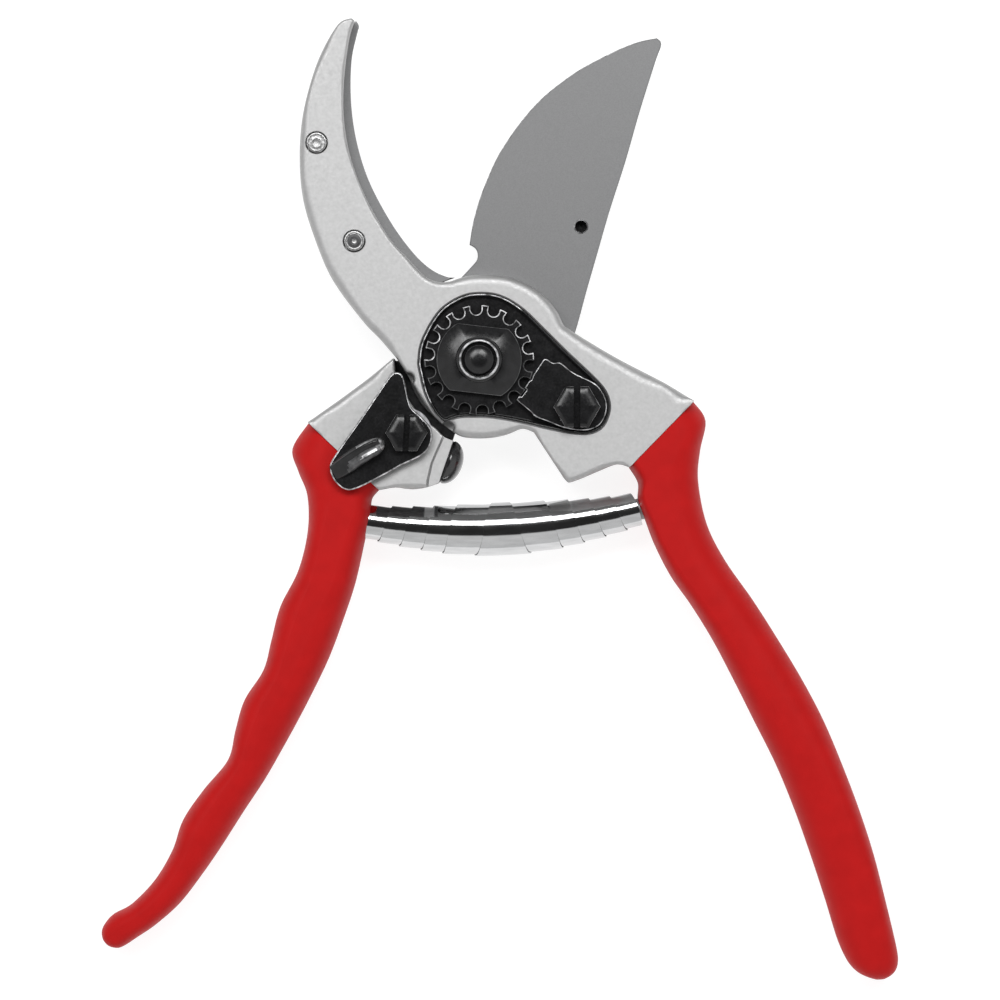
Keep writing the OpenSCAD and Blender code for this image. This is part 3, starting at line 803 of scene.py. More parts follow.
class SHEARS_OT_anvil_handle(Operator):
    """Casts the hooked handle: hook, pivot boss, neck and stop."""
    bl_idname = "shears.anvil_handle"
    bl_label = "Anvil Handle"

    def execute(self, context):
        node = "anvil_handle_core"
        low, top = levels(node)
        counter_low, counter_top = levels("counter_blade")
        seat_low, seat_top = levels("nut_seat_plate")
        loops = plan_loops(node, top)
        rounding = spread([
            (-25, 68, 0.5), (-31, 62, 1.3), (-36, 44, 1.6), (-35, 30, 1.7), (-29, 16, 1.7),
            (-20, 4, 1.5), (-15, -2, 0.7), (-26.5, 62, 0.45), (-27, 50, 0.45), (-24, 36, 0.45),
            (-17, 24, 0.6), (-10, 16.5, 1.0), (0, 17, 1.7), (10, 15, 1.7), (16.5, 8, 1.7),
            (24, 2.5, 2.1), (33, -2.5, 2.2), (41, -7, 2.2), (42.2, -9, 0.06), (39, -12.2, 0.05),
            (36, -15.2, 0.05), (33, -18.3, 0.05), (30.6, -20.8, 0.05), (28.5, -20.9, 0.7),
            (24, -22.3, 1.1), (18, -24.4, 1.0), (13, -18, 0.5), (10, -14, 0.8), (4, -15.3, 1.3),
            (-3, -15.4, 1.3), (-8, -12, 0.6), (-12.7, -6, 0.7),
        ])
        outline = smooth_loop(without(loops[0], (-7.0, -12.3), (-6.2, -12.2)))
        body = slab("anvil_handle_casting", outline, counter_top, top, rounding, 0.3, 0.85)
        lower = [
            slab("boss", shrink(smooth_loop(plan_loops(node, counter_low)[0]), 0.06),
                 counter_low, counter_top + 1.5, 0.1, 0.2),
            slab("neck", shrink(smooth_loop(plan_loops(node, low)[0]), 0.15),
                 low, counter_top + 1.6, 0.1, spread([
                     (42, -8, 2.2), (30, 0, 2.2), (30, -21, 0.9), (18, -24, 0.9), (15, -15, 0.3)])),
            self.tang(top),
        ]
        combine(body, lower, "UNION")
        recess = smooth_loop(plan_loops("nut_seat_plate", seat_top)[0])
        cutters = [hole(recess, seat_low, top, 0.05, 0.3), hole(circle(BOLT + 0.05), 0, seat_low + 1)]
        for loop in loops[1:3]:
            bore = circle(RIVET + 0.14, centroid(loop), 48)
            cutters.append(hole(bore, counter_top - 1, top, 0.0, 0.12))
        combine(body, cutters)
        finish_piece(body, ANVIL, cast_aluminium(), "cast_aluminium", node)
        return {"FINISHED"}

    def tang(self, top):
        """The root of the tang, just inside the mouth of the grip."""
        sides = [(31.5, -18.2), (39.0, -10.5), (42.4, -16.5), (35.2, -23.5)]
        return slab("tang", smooth_loop(sides), 3.3, top - 3.1, 0.5, 0.5)


class SHEARS_OT_blade_handle(Operator):
    """Casts the blade handle: shoulder, bearing disc and the ledge behind the shock absorber."""
    bl_idname = "shears.blade_handle"
    bl_label = "Blade Handle"

    def execute(self, context):
        node = "blade_handle_core"
        low, top = levels(node)
        disc_low = levels("pivot_bush")[0]
        blade_low = levels("cutting_blade")[0]
        outline = [self.close_in(p) for p in smooth_loop(plan_loops(node, top)[0])]
        rounding = spread([
            (-17, 0, 0.6), (-22, -3.5, 1.5), (-28, -8, 1.5), (-33, -11.6, 1.5), (-33.6, -13, 0.05),
            (-30, -16.5, 0.05), (-26, -20.2, 0.05), (-22, -24, 0.05), (-20, -26, 0.5),
            (-14, -25.8, 1.2), (-8.5, -24.8, 0.5), (-6.5, -20, 0.3),
            (-8, -14.8, 0.4), (-14, -9.5, 0.5),
        ])
        body = slab("blade_handle_casting", outline, low, top, rounding, 0.5, 0.85)
        arm = shrink(smooth_loop(plan_loops(node, disc_low)[0]), 0.03)
        sides = [(-31.5, -18.5), (-25.5, -24.0), (-28.5, -31.0), (-33.0, -27.5)]
        combine(body, [
            slab("arm", arm, disc_low, blade_low, 0.25, 0.4),
            slab("tang", smooth_loop(sides), 3.3, top - 3.3, 0.5, 0.5),
        ], "UNION")
        line = [(-6.9, -14.2), (-8.9, -18.7), (-9.7, -20.6), (-10.5, -24.0), (-10.7, -27.0)]
        ledge = line + [(-4.0, -27.0), (-2.0, -14.0)]
        groove = line + [(x + 0.5, y) for x, y in reversed(line)]
        screw = middle("catch_screw")
        combine(body, [
            slab("ledge", ledge, top - 0.5, top + 2, 0.0, 0.1),
            slab("groove", groove, top - 2.0, top + 2, 0.0, 0.0),
            hole(circle(BUSH + 0.03), 0, 12),
            hole(circle(SCREW + 0.04, screw[:2], 40), 8, top, 0.0, 0.2),
            lathe("seat", [(DOME, -0.8), (DOME, 4)], place=absorber_place()),
            lathe("stem", [(DOME_STEM + 0.05, -6.5), (DOME_STEM + 0.05, 4)], 48, absorber_place()),
        ])
        # painted shade: the arm's faces low in the gap beside the boss get the dark finish
        paint(body, 1, lambda spot, normal: spot.z < 10.5 and spot.x > -20 and normal.z > -0.5)
        finish_piece(body, BLADE, cast_aluminium(), "cast_aluminium", node, also=[oiled_cast()])
        return {"FINISHED"}

    def close_in(self, p, edge=(16.7, 17.1), first=-172, last=-114, shift=0.8):
        """Draws the shoulder's round edge towards the boss, between two angles in degrees."""
        reach, angle = math.hypot(*p), math.degrees(math.atan2(p[1], p[0]))
        if not (edge[0] < reach < edge[1] and first < angle < last):
            return p
        ease = min(1.0, (angle - first) / 10, (last - angle) / 8)
        scale = 1 - shift * ease / reach
        return p[0] * scale, p[1] * scale


# ---------------------------------------------------------------- blades and rivets

# places along the cutting blade's outline, and the width of the bevel there
BEVEL = spread([
    (-1.9, 23.5, 0.35), (-1.6, 25.5, 1.6), (-1, 28, 3.4), (2, 37.5, 5.0), (8, 47.5, 5.2),
    (16, 55.5, 5.2), (24, 60.5, 4.6), (30, 63.3, 3.0), (34, 64.5, 1.2), (36.4, 63.5, 0.3),
    (34, 56, 0.2), (29, 40, 0.2), (24, 22, 0.2), (20, 9, 0.2), (0, -14.5, 0.2), (-14, 0, 0.2),
    (-4, 17, 0.2), (-0.4, 21, 0.25),
])
EVEN_PASSES = 16  # times that each bevel width is averaged with its neighbours


class SHEARS_OT_blades(Operator):
    """Grinds the cutting blade, with its bevel, notch and hole, and the hooked counter blade."""
    bl_idname = "shears.blades"
    bl_label = "Blades"

    def execute(self, context):
        self.cutting()
        self.counter()
        return {"FINISHED"}

    def cutting(self):
        node = "cutting_blade"
        z0, z1 = levels(node)
        loops = plan_loops(node, z1)
        outline = smooth_loop(loops[0], 0.8)
        widths = [BEVEL(p) for p in outline]
        for _ in range(EVEN_PASSES):
            before, after = widths[-1:] + widths[:-1], widths[1:] + widths[:1]
            widths = [(a + 2 * b + c) / 4 for a, b, c in zip(before, widths, after)]
        keen = [min(1, max(0, (w - 0.3) / 1.2)) for w in widths]
        body = stack("cutting_blade_ground", [
            [(*p, z0) for p in inset(outline, widths)],
            [(*p, z0 + 0.2 + k * (z1 - z0 - 0.55)) for p, k in zip(outline, keen)],
            [(*p, z1 - 0.1) for p in outline],
            [(*p, z1) for p in shrink(outline, 0.12)],
        ])
        dress(body, ground_steel(), black_finish(), worn_edge())
        centre = centroid([l for l in loops[1:] if area(l) < 10 and l[0][1] > 20][0])
        combine(body, [
            hole(circle(1.2, centre, 40), z1 - 2.6, z1, 0.0, 0.28), hole(circle(BUSH + 0.02), 0, 12)])

        def from_hole(spot):
            return math.dist(spot[:2], centre)

        paint(body, 2, lambda spot, normal: 0.2 < normal.z < 0.95 and spot.z > z1 - 0.3 and (
            from_hole(spot) < 1.6 or BEVEL(spot[:2]) > 2.0))
        # painted shade: the walls and floor of the small hole get the black finish
        paint(body, 1, lambda spot, normal: spot.z < z1 - 0.3 and from_hole(spot) < 1.3)
        finish_piece(body, BLADE, ground_steel(), "blade_steel", node, sharp=12,
                     also=[black_finish(), worn_edge()])

    def counter(self):
        node = "counter_blade"
        z0, z1 = levels(node)
        outline = smooth_loop(plan_loops(node, z1)[0], 0.8)
        body = slab("counter_blade_ground", outline, z0, z1, 0.12, spread([
            (-24.6, 60, 0.5), (-25.5, 52, 0.6), (-20, 33, 0.6), (-12, 20, 0.6), (-34, 40, 0.2),
            (-28, 16, 0.2), (-15, 8, 0.15), (-24, 67, 0.2)]))
        combine(body, [
            hole(circle(RIVET + 0.04, at, 48), 0, 20) for at in rivet_places()
        ])
        finish_piece(body, ANVIL, ground_steel(), "blade_steel", node)


def rivet_places():
    """Centres of the two rivets, the outer corners of their node's box."""
    low, high = [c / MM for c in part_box("counter_blade_rivet")]
    return [(low.x + RIVET, high.y - RIVET), (high.x - RIVET, low.y + RIVET)]


class SHEARS_OT_rivets(Operator):
    """Sets the two rivets of the counter blade, with turned rims and dimpled heads."""
    bl_idname = "shears.rivets"
    bl_label = "Rivets"

    def execute(self, context):
        low, top = levels("counter_blade_rivet")
        head = lathe("rivet_pattern", [
            (0, low), (1.9, low), (RIVET, low + 0.2), (RIVET, top - 0.25), (1.95, top - 0.06),
            (1.75, top - 0.02), (1.62, top - 0.2), (1.4, top - 0.24), (0.9, top - 0.12),
            (0.45, top - 0.28), (0, top - 0.34)], 64)
        tree = Tree("rivet_row", [
            ("Pattern", "Object", None), ("First", "Vector", None), ("Second", "Vector", None)])
        line = tree.node("GeometryNodeMeshLine", {
            "Count": 2, "Start Location": tree.inputs["First"], "Offset": tree.inputs["Second"],
        }, mode="END_POINTS")
        info = tree.node("GeometryNodeObjectInfo", {"Object": tree.inputs["Pattern"]})
        placed = tree.node("GeometryNodeInstanceOnPoints", {
            "Points": line, "Instance": info.outputs["Geometry"]})
        tree.finish(placed, turned_alloy())
        first, second = [(x * MM, y * MM, 0) for x, y in rivet_places()]
        body = tree.grow("counter_blade_rivets", {"Pattern": head, "First": first, "Second": second})
        bpy.data.objects.remove(head)
        dress(body, turned_alloy(), oiled_cast())
        lower = rivet_places()[1]
        # the lower rivet's dimpled centre gets the darker finish
        paint(body, 1, lambda spot, normal:
              spot.z > top - 0.5 and 0.3 < math.dist(spot[:2], lower) < 1.45)
        finish_piece(body, ANVIL, turned_alloy(), "rivet_alloy", "counter_blade_rivet", sharp=30,
                     also=[oiled_cast()])
        return {"FINISHED"}


# ---------------------------------------------------------------- pivot

class SHEARS_OT_pivot(Operator):
    """Makes the pivot bolt with its stepped end and the toothed nut with its key flats."""
    bl_idname = "shears.pivot"
    bl_label = "Pivot Bolt and Nut"

    def execute(self, context):
        self.bolt()
        self.nut(context.scene.shears_nut)
        return {"FINISHED"}

    def bolt(self):
        low, high = levels("pivot_bolt")
        nut_top = levels("pivot_nut")[1]
        dome = [(3.02 * math.cos(a), nut_top + 0.2 + (high - nut_top - 0.2) * math.sin(a))
                for a in [math.pi / 2 * k / 10 for k in range(11)]]
        body = lathe("pivot_bolt_turned", [
            (0, low), (8.1, low), (8.7, low + 0.2), (9.0, low + 0.6), (9.0, 1.45), (8.85, 1.6),
            (BOLT, 1.6), (BOLT, nut_top), (4.42, nut_top + 0.12), (3.98, nut_top + 0.42),
            (3.84, nut_top + 0.56), (3.72, nut_top + 0.6), (3.6, nut_top + 0.54),
            (3.52, nut_top + 0.35), (3.4, nut_top - 0.5), (3.08, nut_top - 0.55)] + dome, 128)
        dress(body, black_finish(), worn_edge())
        paint(body, 1, lambda spot, normal: 3.55 < spot.xy.length < 4.02 and spot.z > nut_top + 0.4)
        holes = [hole(circle(1.0, (x, 0), 32), -2, 0.0) for x in (-6, 6)]
        combine(body, holes)
        finish_black(body, ANVIL, "pivot_bolt", 28, worn_edge())

    def nut(self, size):
        low, top = levels("pivot_nut")
        shelf = levels("locking_segment")[1]
        tip = (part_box("pivot_nut")[1].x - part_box("pivot_nut")[0].x) / 2 / MM
        tree = Tree("toothed_ring", [
            ("Teeth", "Int", 18), ("Tip Radius", "Float", 0.01), ("Root Radius", "Float", 0.009),
            ("Gap Radius", "Float", 0.001), ("Rim", "Float", 0.0002), ("Height", "Float", 0.002),
            ("Level", "Float", 0.0), ("First Gap", "Float", 0.0)])
        take = tree.inputs
        disc = tree.node("GeometryNodeMeshCylinder", {
            "Vertices": 150, "Radius": take["Tip Radius"],
            "Depth": tree.math("SUBTRACT", take["Height"], tree.times(take["Rim"], 1.6))})
        lowered = tree.node("GeometryNodeTransform", {
            "Geometry": disc.outputs["Mesh"],
            "Translation": tree.along_z(tree.times(take["Rim"], -0.8))})
        inner = tree.node("GeometryNodeMeshCylinder", {
            "Vertices": 140, "Radius": tree.math("SUBTRACT", take["Tip Radius"], take["Rim"]),
            "Depth": take["Height"]})
        disc = tree.node("GeometryNodeMeshBoolean", operation="UNION", solver="EXACT")
        for part in (lowered.outputs[0], inner.outputs["Mesh"]):
            tree.group.links.new(part, disc.inputs["Mesh 2"])
        # a deep cutter for each gap, and a wider, shallow one that leaves a rim round it
        gaps = []
        for rim, lift in ((0.0, 0.0), (take["Rim"], tree.sum(
                tree.times(take["Height"], 0.5), 0.005, tree.times(take["Rim"], -1.6)))):
            width = tree.sum(take["Gap Radius"], rim)
            round_end = tree.node("GeometryNodeMeshCylinder", {
                "Vertices": 30, "Radius": width, "Depth": 0.01})
            here = tree.node("ShaderNodeSeparateXYZ", {"Vector": tree.node("GeometryNodeInputPosition")})
            outer_half = tree.math("GREATER_THAN", here.outputs["X"], 0.0)
            stretched = tree.node("GeometryNodeSetPosition", {
                "Geometry": round_end.outputs["Mesh"], "Selection": outer_half,
                "Offset": (0.003, 0, 0)})
            raised = tree.node("GeometryNodeTransform", {
                "Geometry": stretched, "Translation": tree.along_z(lift)})
            gaps.append(raised)
        ring = tree.node("GeometryNodeMeshCircle", {
            "Vertices": take["Teeth"],
            "Radius": tree.sum(take["Root Radius"], take["Gap Radius"])})
        index = tree.node("GeometryNodeInputIndex")
        angle = tree.math("DIVIDE", tree.times(index.outputs[0], math.tau), take["Teeth"])
        spin = tree.along_z(angle)
        toothed = disc
        for gap in gaps:
            placed = tree.node("GeometryNodeInstanceOnPoints", {
                "Points": ring.outputs[0], "Instance": gap.outputs[0], "Rotation": spin})
            real = tree.node("GeometryNodeRealizeInstances", {"Geometry": placed})
            cut = tree.node("GeometryNodeMeshBoolean", operation="DIFFERENCE", solver="EXACT")
            tree.group.links.new(toothed.outputs[0], cut.inputs["Mesh 1"])
            tree.group.links.new(real.outputs[0], cut.inputs["Mesh 2"])
            toothed = cut
        moved = tree.node("GeometryNodeTransform", {
            "Geometry": toothed.outputs[0], "Translation": tree.along_z(take["Level"]),
            "Rotation": tree.along_z(take["First Gap"])})
        tree.finish(moved, black_finish())
        body = tree.grow("pivot_nut_toothed", {
            "Teeth": size.teeth, "Tip Radius": tip * MM, "Root Radius": size.root * MM,
            "Gap Radius": size.gap * MM, "Rim": size.rim * MM, "Height": (shelf - low) * MM,
            "Level": (shelf + low) / 2 * MM, "First Gap": size.phase})
        dress(body, black_finish(), worn_edge(), dull_edge())
        # painted highlight and shade: each gap's rim gets the bright finish on the side facing the lights and
        # the dim finish on the other
        gap_ring = [Vector(p) for p in circle(size.root + size.gap, sides=size.teeth, start=size.phase)]
        for face in body.data.polygons:
            if face.normal.z > 0.9 and face.center.z < (shelf - 0.1) * MM:
                spot = (face.center / MM).xy
                gap = min(gap_ring, key=lambda c: (c - spot).length)
                outward = spot if spot.length > size.root + size.gap + 0.4 else gap - spot
                lit = outward.normalized().y + 0.25 * spot.normalized().y > 0.0
                face.material_index = 1 if lit else 2
        combine(body, [self.crown(size, shelf, top)], "UNION")
        combine(body, [hole(circle(BOLT + 0.05), 0, top, 0.0, 0.12)])
        finish_black(body, ANVIL, "pivot_nut", 24, worn_edge(), dull_edge())

    def crown(self, size, shelf, top):
        """The domed upper part of the nut, with its two key flats."""
        half = size.flats / 2
        c, s = math.cos(size.turn), math.sin(size.turn)
        flat_sided = [(x, max(-half, min(half, y))) for x, y in circle(8.45, sides=160)]
        loop = [(x * c - y * s, x * s + y * c) for x, y in flat_sided]
        scaled = [(1.0, shelf - 0.05), (1.0, top - 1.42)]
        for k in range(13):
            from_collar = 3.9 * (1 - k / 12)
            fall = 0.19 * from_collar + 0.0365 * from_collar ** 2
            scaled.append((0.982 - 0.442 * k / 12, top - fall))
        upper = stack("upper", [[(x * w, y * w, z) for x, y in loop] for w, z in scaled])
        dress(upper, black_finish(), worn_edge(), dull_edge())
        paint(upper, 2, lambda spot, normal: top - 1.4 < spot.z < top - 1.3)
        return upper


# ---------------------------------------------------------------- nut lock

def slotted_hex(name, node, z0, slot):
    """A hexagon head over level z0, with a soft top corner, a driver slot and its shank."""
    low, high = [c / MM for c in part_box(node)]
    centre, across, shank_low, z1 = tuple(middle(node)[:2]), high.y - low.y, low.z, high.z
    corner = across / math.sqrt(3)
    loop = [(centre[0] + x, centre[1] + y) for x, y in circle(corner, sides=6)]
    side = []
    for a, b in zip(loop, loop[1:] + loop[:1]):
        side += [tuple(p + (q - p) * k / 8 for p, q in zip(a, b)) for k in range(8)]
    rings = []
    for scale, z in ((1.0, z0), (1.0, z1 - 0.62), (0.985, z1 - 0.5), (0.93, z1 - 0.36),
                     (0.8, z1 - 0.2), (0.6, z1 - 0.09), (0.35, z1 - 0.02), (0.1, z1)):
        rings.append([
            (centre[0] + (x - centre[0]) * scale, centre[1] + (y - centre[1]) * scale, z)
            for x, y in side
        ])
    head = stack(name, rings)
    dress(head, black_finish(), worn_edge())
    paint(head, 1, lambda spot, normal: z1 - 0.6 < spot.z < z1 - 0.48)
    round_stem = circle(SCREW, centre, 48)
    stem = stack("stem", [[(*p, z) for p in round_stem] for z in (shank_low, z0 + 0.1)])
    combine(head, [stem], "UNION")
    wide, long = slot[0] / 2, across
    c, s = math.cos(slot[1]), math.sin(slot[1])
    groove = [(centre[0] + x * c - y * s, centre[1] + x * s + y * c)
              for x, y in ((-wide, -long), (wide, -long), (wide, long), (-wide, long))]
    return combine(head, [stack("slot", [[(*p, z) for p in groove] for z in (z1 - 1.9, z1 + 1)])])


class SHEARS_OT_nut_lock(Operator):
    """Presses the black seat plate and makes the toothed segment with its slotted screw."""
    bl_idname = "shears.nut_lock"
    bl_label = "Nut Lock"

    def execute(self, context):
        self.seat()
        self.segment()
        self.screw()
        return {"FINISHED"}

    def seat(self):
        node = "nut_seat_plate"
        z0, z1 = levels(node)
        floor = levels("pivot_nut")[0]
        outline = smooth_loop(plan_loops(node, z1)[0])
        rings = [[(*p, z) for p in shrink(outline, w)] for w, z in (
            (0.25, z0), (0.0, z0 + 0.2), (0.0, z1 - 0.3), (0.05, z1 - 0.12), (0.15, z1 - 0.02),
            (0.24, z1), (0.36, z1 - 0.06), (0.5, z1 - 0.2), (0.62, z1 - 0.42),
            (0.68, floor + 0.3), (0.8, floor))]
        body = stack("nut_seat_pressing", rings)
        screw = middle("segment_screw")
        dress(body, black_finish(), worn_edge())
        # painted highlight: the top of the rim on its north-west half gets the bright finish
        paint(body, 1, lambda spot, normal: spot.z > z1 - 0.07 and spot.y > 1.0 + spot.x)
        combine(body, [
            hole(circle(BOLT + 0.1), 0, 30), hole(circle(SCREW + 0.12, screw[:2], 48), 0, 30)])
        finish_black(body, ANVIL, node, 50, worn_edge())

    def segment(self):
        node = "locking_segment"
        z0, z1 = levels(node)
        outline = smooth_loop(plan_loops(node, z1)[0], 0.3, 40)
        body = slab("locking_segment_toothed", outline, z0, z1, 0.22, 0.0)
        dress(body, black_finish(), worn_edge())
        paint(body, 1, lambda spot, normal: 0.2 < normal.z < 0.97)
        combine(body, [hole(circle(SCREW + 0.12, middle("segment_screw")[:2], 48), 0, 30)])
        finish_black(body, ANVIL, node, 40, worn_edge())

    def screw(self):
        washer_top = levels("segment_washer")[1]
        body = slotted_hex("segment_screw_head", "segment_screw", washer_top, (1.3, 0.0))
        finish_black(body, ANVIL, "segment_screw", 30, worn_edge())


# ---------------------------------------------------------------- thumb catch

CATCH_GAP, CATCH_THICK = 0.1, 2.0  # millimetres between washer and plate, and through the plate


class SHEARS_OT_thumb_catch(Operator):
    """Presses the thumb catch with its raised rib and lug, and makes its slotted screw."""
    bl_idname = "shears.thumb_catch"
    bl_label = "Thumb Catch"

    def execute(self, context):
        self.plate()
        self.screw()
        return {"FINISHED"}

    def plate(self):
        z0 = levels("catch_washer")[1] + CATCH_GAP
        z1 = z0 + CATCH_THICK
        top = levels("thumb_catch")[1]
        outline = smooth_loop(plan_loops("thumb_catch", z0)[0], 0.5)
        body = slab("thumb_catch_pressing", outline, z0, z1, 0.34, 0.2)
        dress(body, black_finish(), worn_edge(), dull_edge())
        paint(body, 1, lambda spot, normal: 0.3 < normal.z < 0.985)
        spine = smooth_run([
            (-29.0, -22.6, 1.5, 0.15), (-27.6, -21.7, 1.9, 1.2), (-25.9, -20.5, 2.0, 2.3),
            (-24.0, -19.2, 2.0, 3.1), (-22.2, -18.1, 2.0, 3.6), (-20.8, -17.4, 1.9, 3.8),
            (-19.8, -16.9, 1.6, 3.6), (-19.1, -16.6, 1.1, 3.0), (-18.75, -16.45, 0.5, 2.0)], 4)
        rings = []
        for i, (x, y, half, rise) in enumerate(spine):
            a, b = spine[max(i - 1, 0)], spine[min(i + 1, len(spine) - 1)]
            along = Vector((b[0] - a[0], b[1] - a[1])).normalized()
            side = Vector((-along.y, along.x))
            rise = min(rise, top - z1)
            ring = []
            for k in range(33):
                u = math.cos(math.pi * k / 32)
                dish = 0.16 * rise * (1 - (u / 0.8) ** 2) ** 2 if abs(u) < 0.8 else 0
                p = Vector((x, y)) + side * (half * u)
                crest = (rise + 0.3) * max(0.0, 1 - abs(u) ** 4) ** 0.5
                ring.append((p.x, p.y, z1 - 0.3 + max(0.0, crest - dish)))
            rings.append(ring)
        rib = stack("rib", rings)
        lug = stack("lug", [[(*p, z) for p in circle(0.9, (-16, -4), 32)]
                            for z in (levels("thumb_catch")[0], z0 + 0.3)])
        combine(body, [rib, lug], "UNION")
        combine(body, [hole(circle(COLLAR + 0.05, middle("catch_screw")[:2], 56), 0, 40)])
        # painted highlight on the rib: its north rim, its upper end and a patch on its south flank get the
        # bright finish; painted sheen: the rest of its south half gets the dim finish
        line = [Vector(row[:2]) for row in spine]
        for face in body.data.polygons:
            spot = (face.center / MM).xy
            k = min(range(len(line) - 1), key=lambda i: (line[i] - spot).length)
            along = (line[k + 1] - line[k]).normalized()
            side = along.cross(spot - line[k]) / spine[k][2]
            rim = -24.5 < spot.x and (0.72 < side < 0.93 or k > len(line) - 9)
            highlight_patch = -23.4 < spot.x < -20.3 and -0.5 < side < -0.22
            if face.center.z > (z1 + 1.0) * MM and face.normal.z > 0.2:
                if rim or highlight_patch:
                    face.material_index = 1
                elif -26.0 < spot.x and side < 0.1:
                    face.material_index = 2
        finish_black(body, CATCH, "thumb_catch", 50, worn_edge(), dull_edge())

    def screw(self):
        centre = middle("catch_screw")
        washer_low, washer_top = levels("catch_washer")
        plate_top = washer_top + CATCH_GAP + CATCH_THICK
        body = slotted_hex("catch_screw_head", "catch_screw", plate_top + 0.1, (1.2, math.radians(-3)))
        collar = lathe("collar", [(COLLAR, washer_low), (COLLAR, plate_top + 0.2)], 64,
                       Matrix.Translation((centre.x, centre.y, 0)))
        combine(body, [collar], "UNION")
        finish_black(body, BLADE, "catch_screw", 30, worn_edge())


# ---------------------------------------------------------------- shock absorber

DOME, DOME_STEM = 4.2, 2.0  # radii of the dome's seat and of its stem, in millimetres


def absorber_place():
    """Matrix, in millimetres, that stands a turned piece on the shoulder's face."""
    return Matrix.Translation((-6.6, -20.2, 9.2)) @ Matrix.Rotation(math.radians(-19.2), 4, "Z") \
        @ Matrix.Rotation(math.pi / 2, 4, "Y")


class SHEARS_OT_shock_absorber(Operator):
    """Moulds the rubber dome that cushions the closing handles."""
    bl_idname = "shears.shock_absorber"
    bl_label = "Shock Absorber"

    def execute(self, context):
        dome = [(4.5 * math.cos(a), 3.3 * math.sin(a) ** 0.9)
                for a in [math.pi / 2 * k / 14 for k in range(15)]]
        profile = [(0, -6), (1.8, -6), (DOME_STEM, -5.8), (DOME_STEM, 0), (DOME, 0)]
        body = lathe("shock_absorber_dome", profile + dome[1:], 80, absorber_place())
        finish_piece(body, BLADE, black_rubber(), "black_rubber", "shock_absorber", sharp=50)
        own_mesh(body)
        return {"FINISHED"}


# ---------------------------------------------------------------- spring

SPRING_ENDS = (-21.75, -32.4, 8.4), (32.3, -29.6, 8.4)  # middles of its two ends, in millimetres
SPRING_MIDDLE = 0.486  # where its widest turn lies, as a share of its length
SPRING_DIP = 0.0027  # how far its middle hangs below the line between its ends, in metres
FAST_TURNS, FAST_SPREAD = 1.5, 1.66  # the first turns spread along the spring this much faster
NARROWING, LATE_NARROWING = 0.0003, 0.0001  # metres of radius lost in each turn, and later ones
LEAST_HALF = 0.0006  # half the width, in metres, with which the strip starts


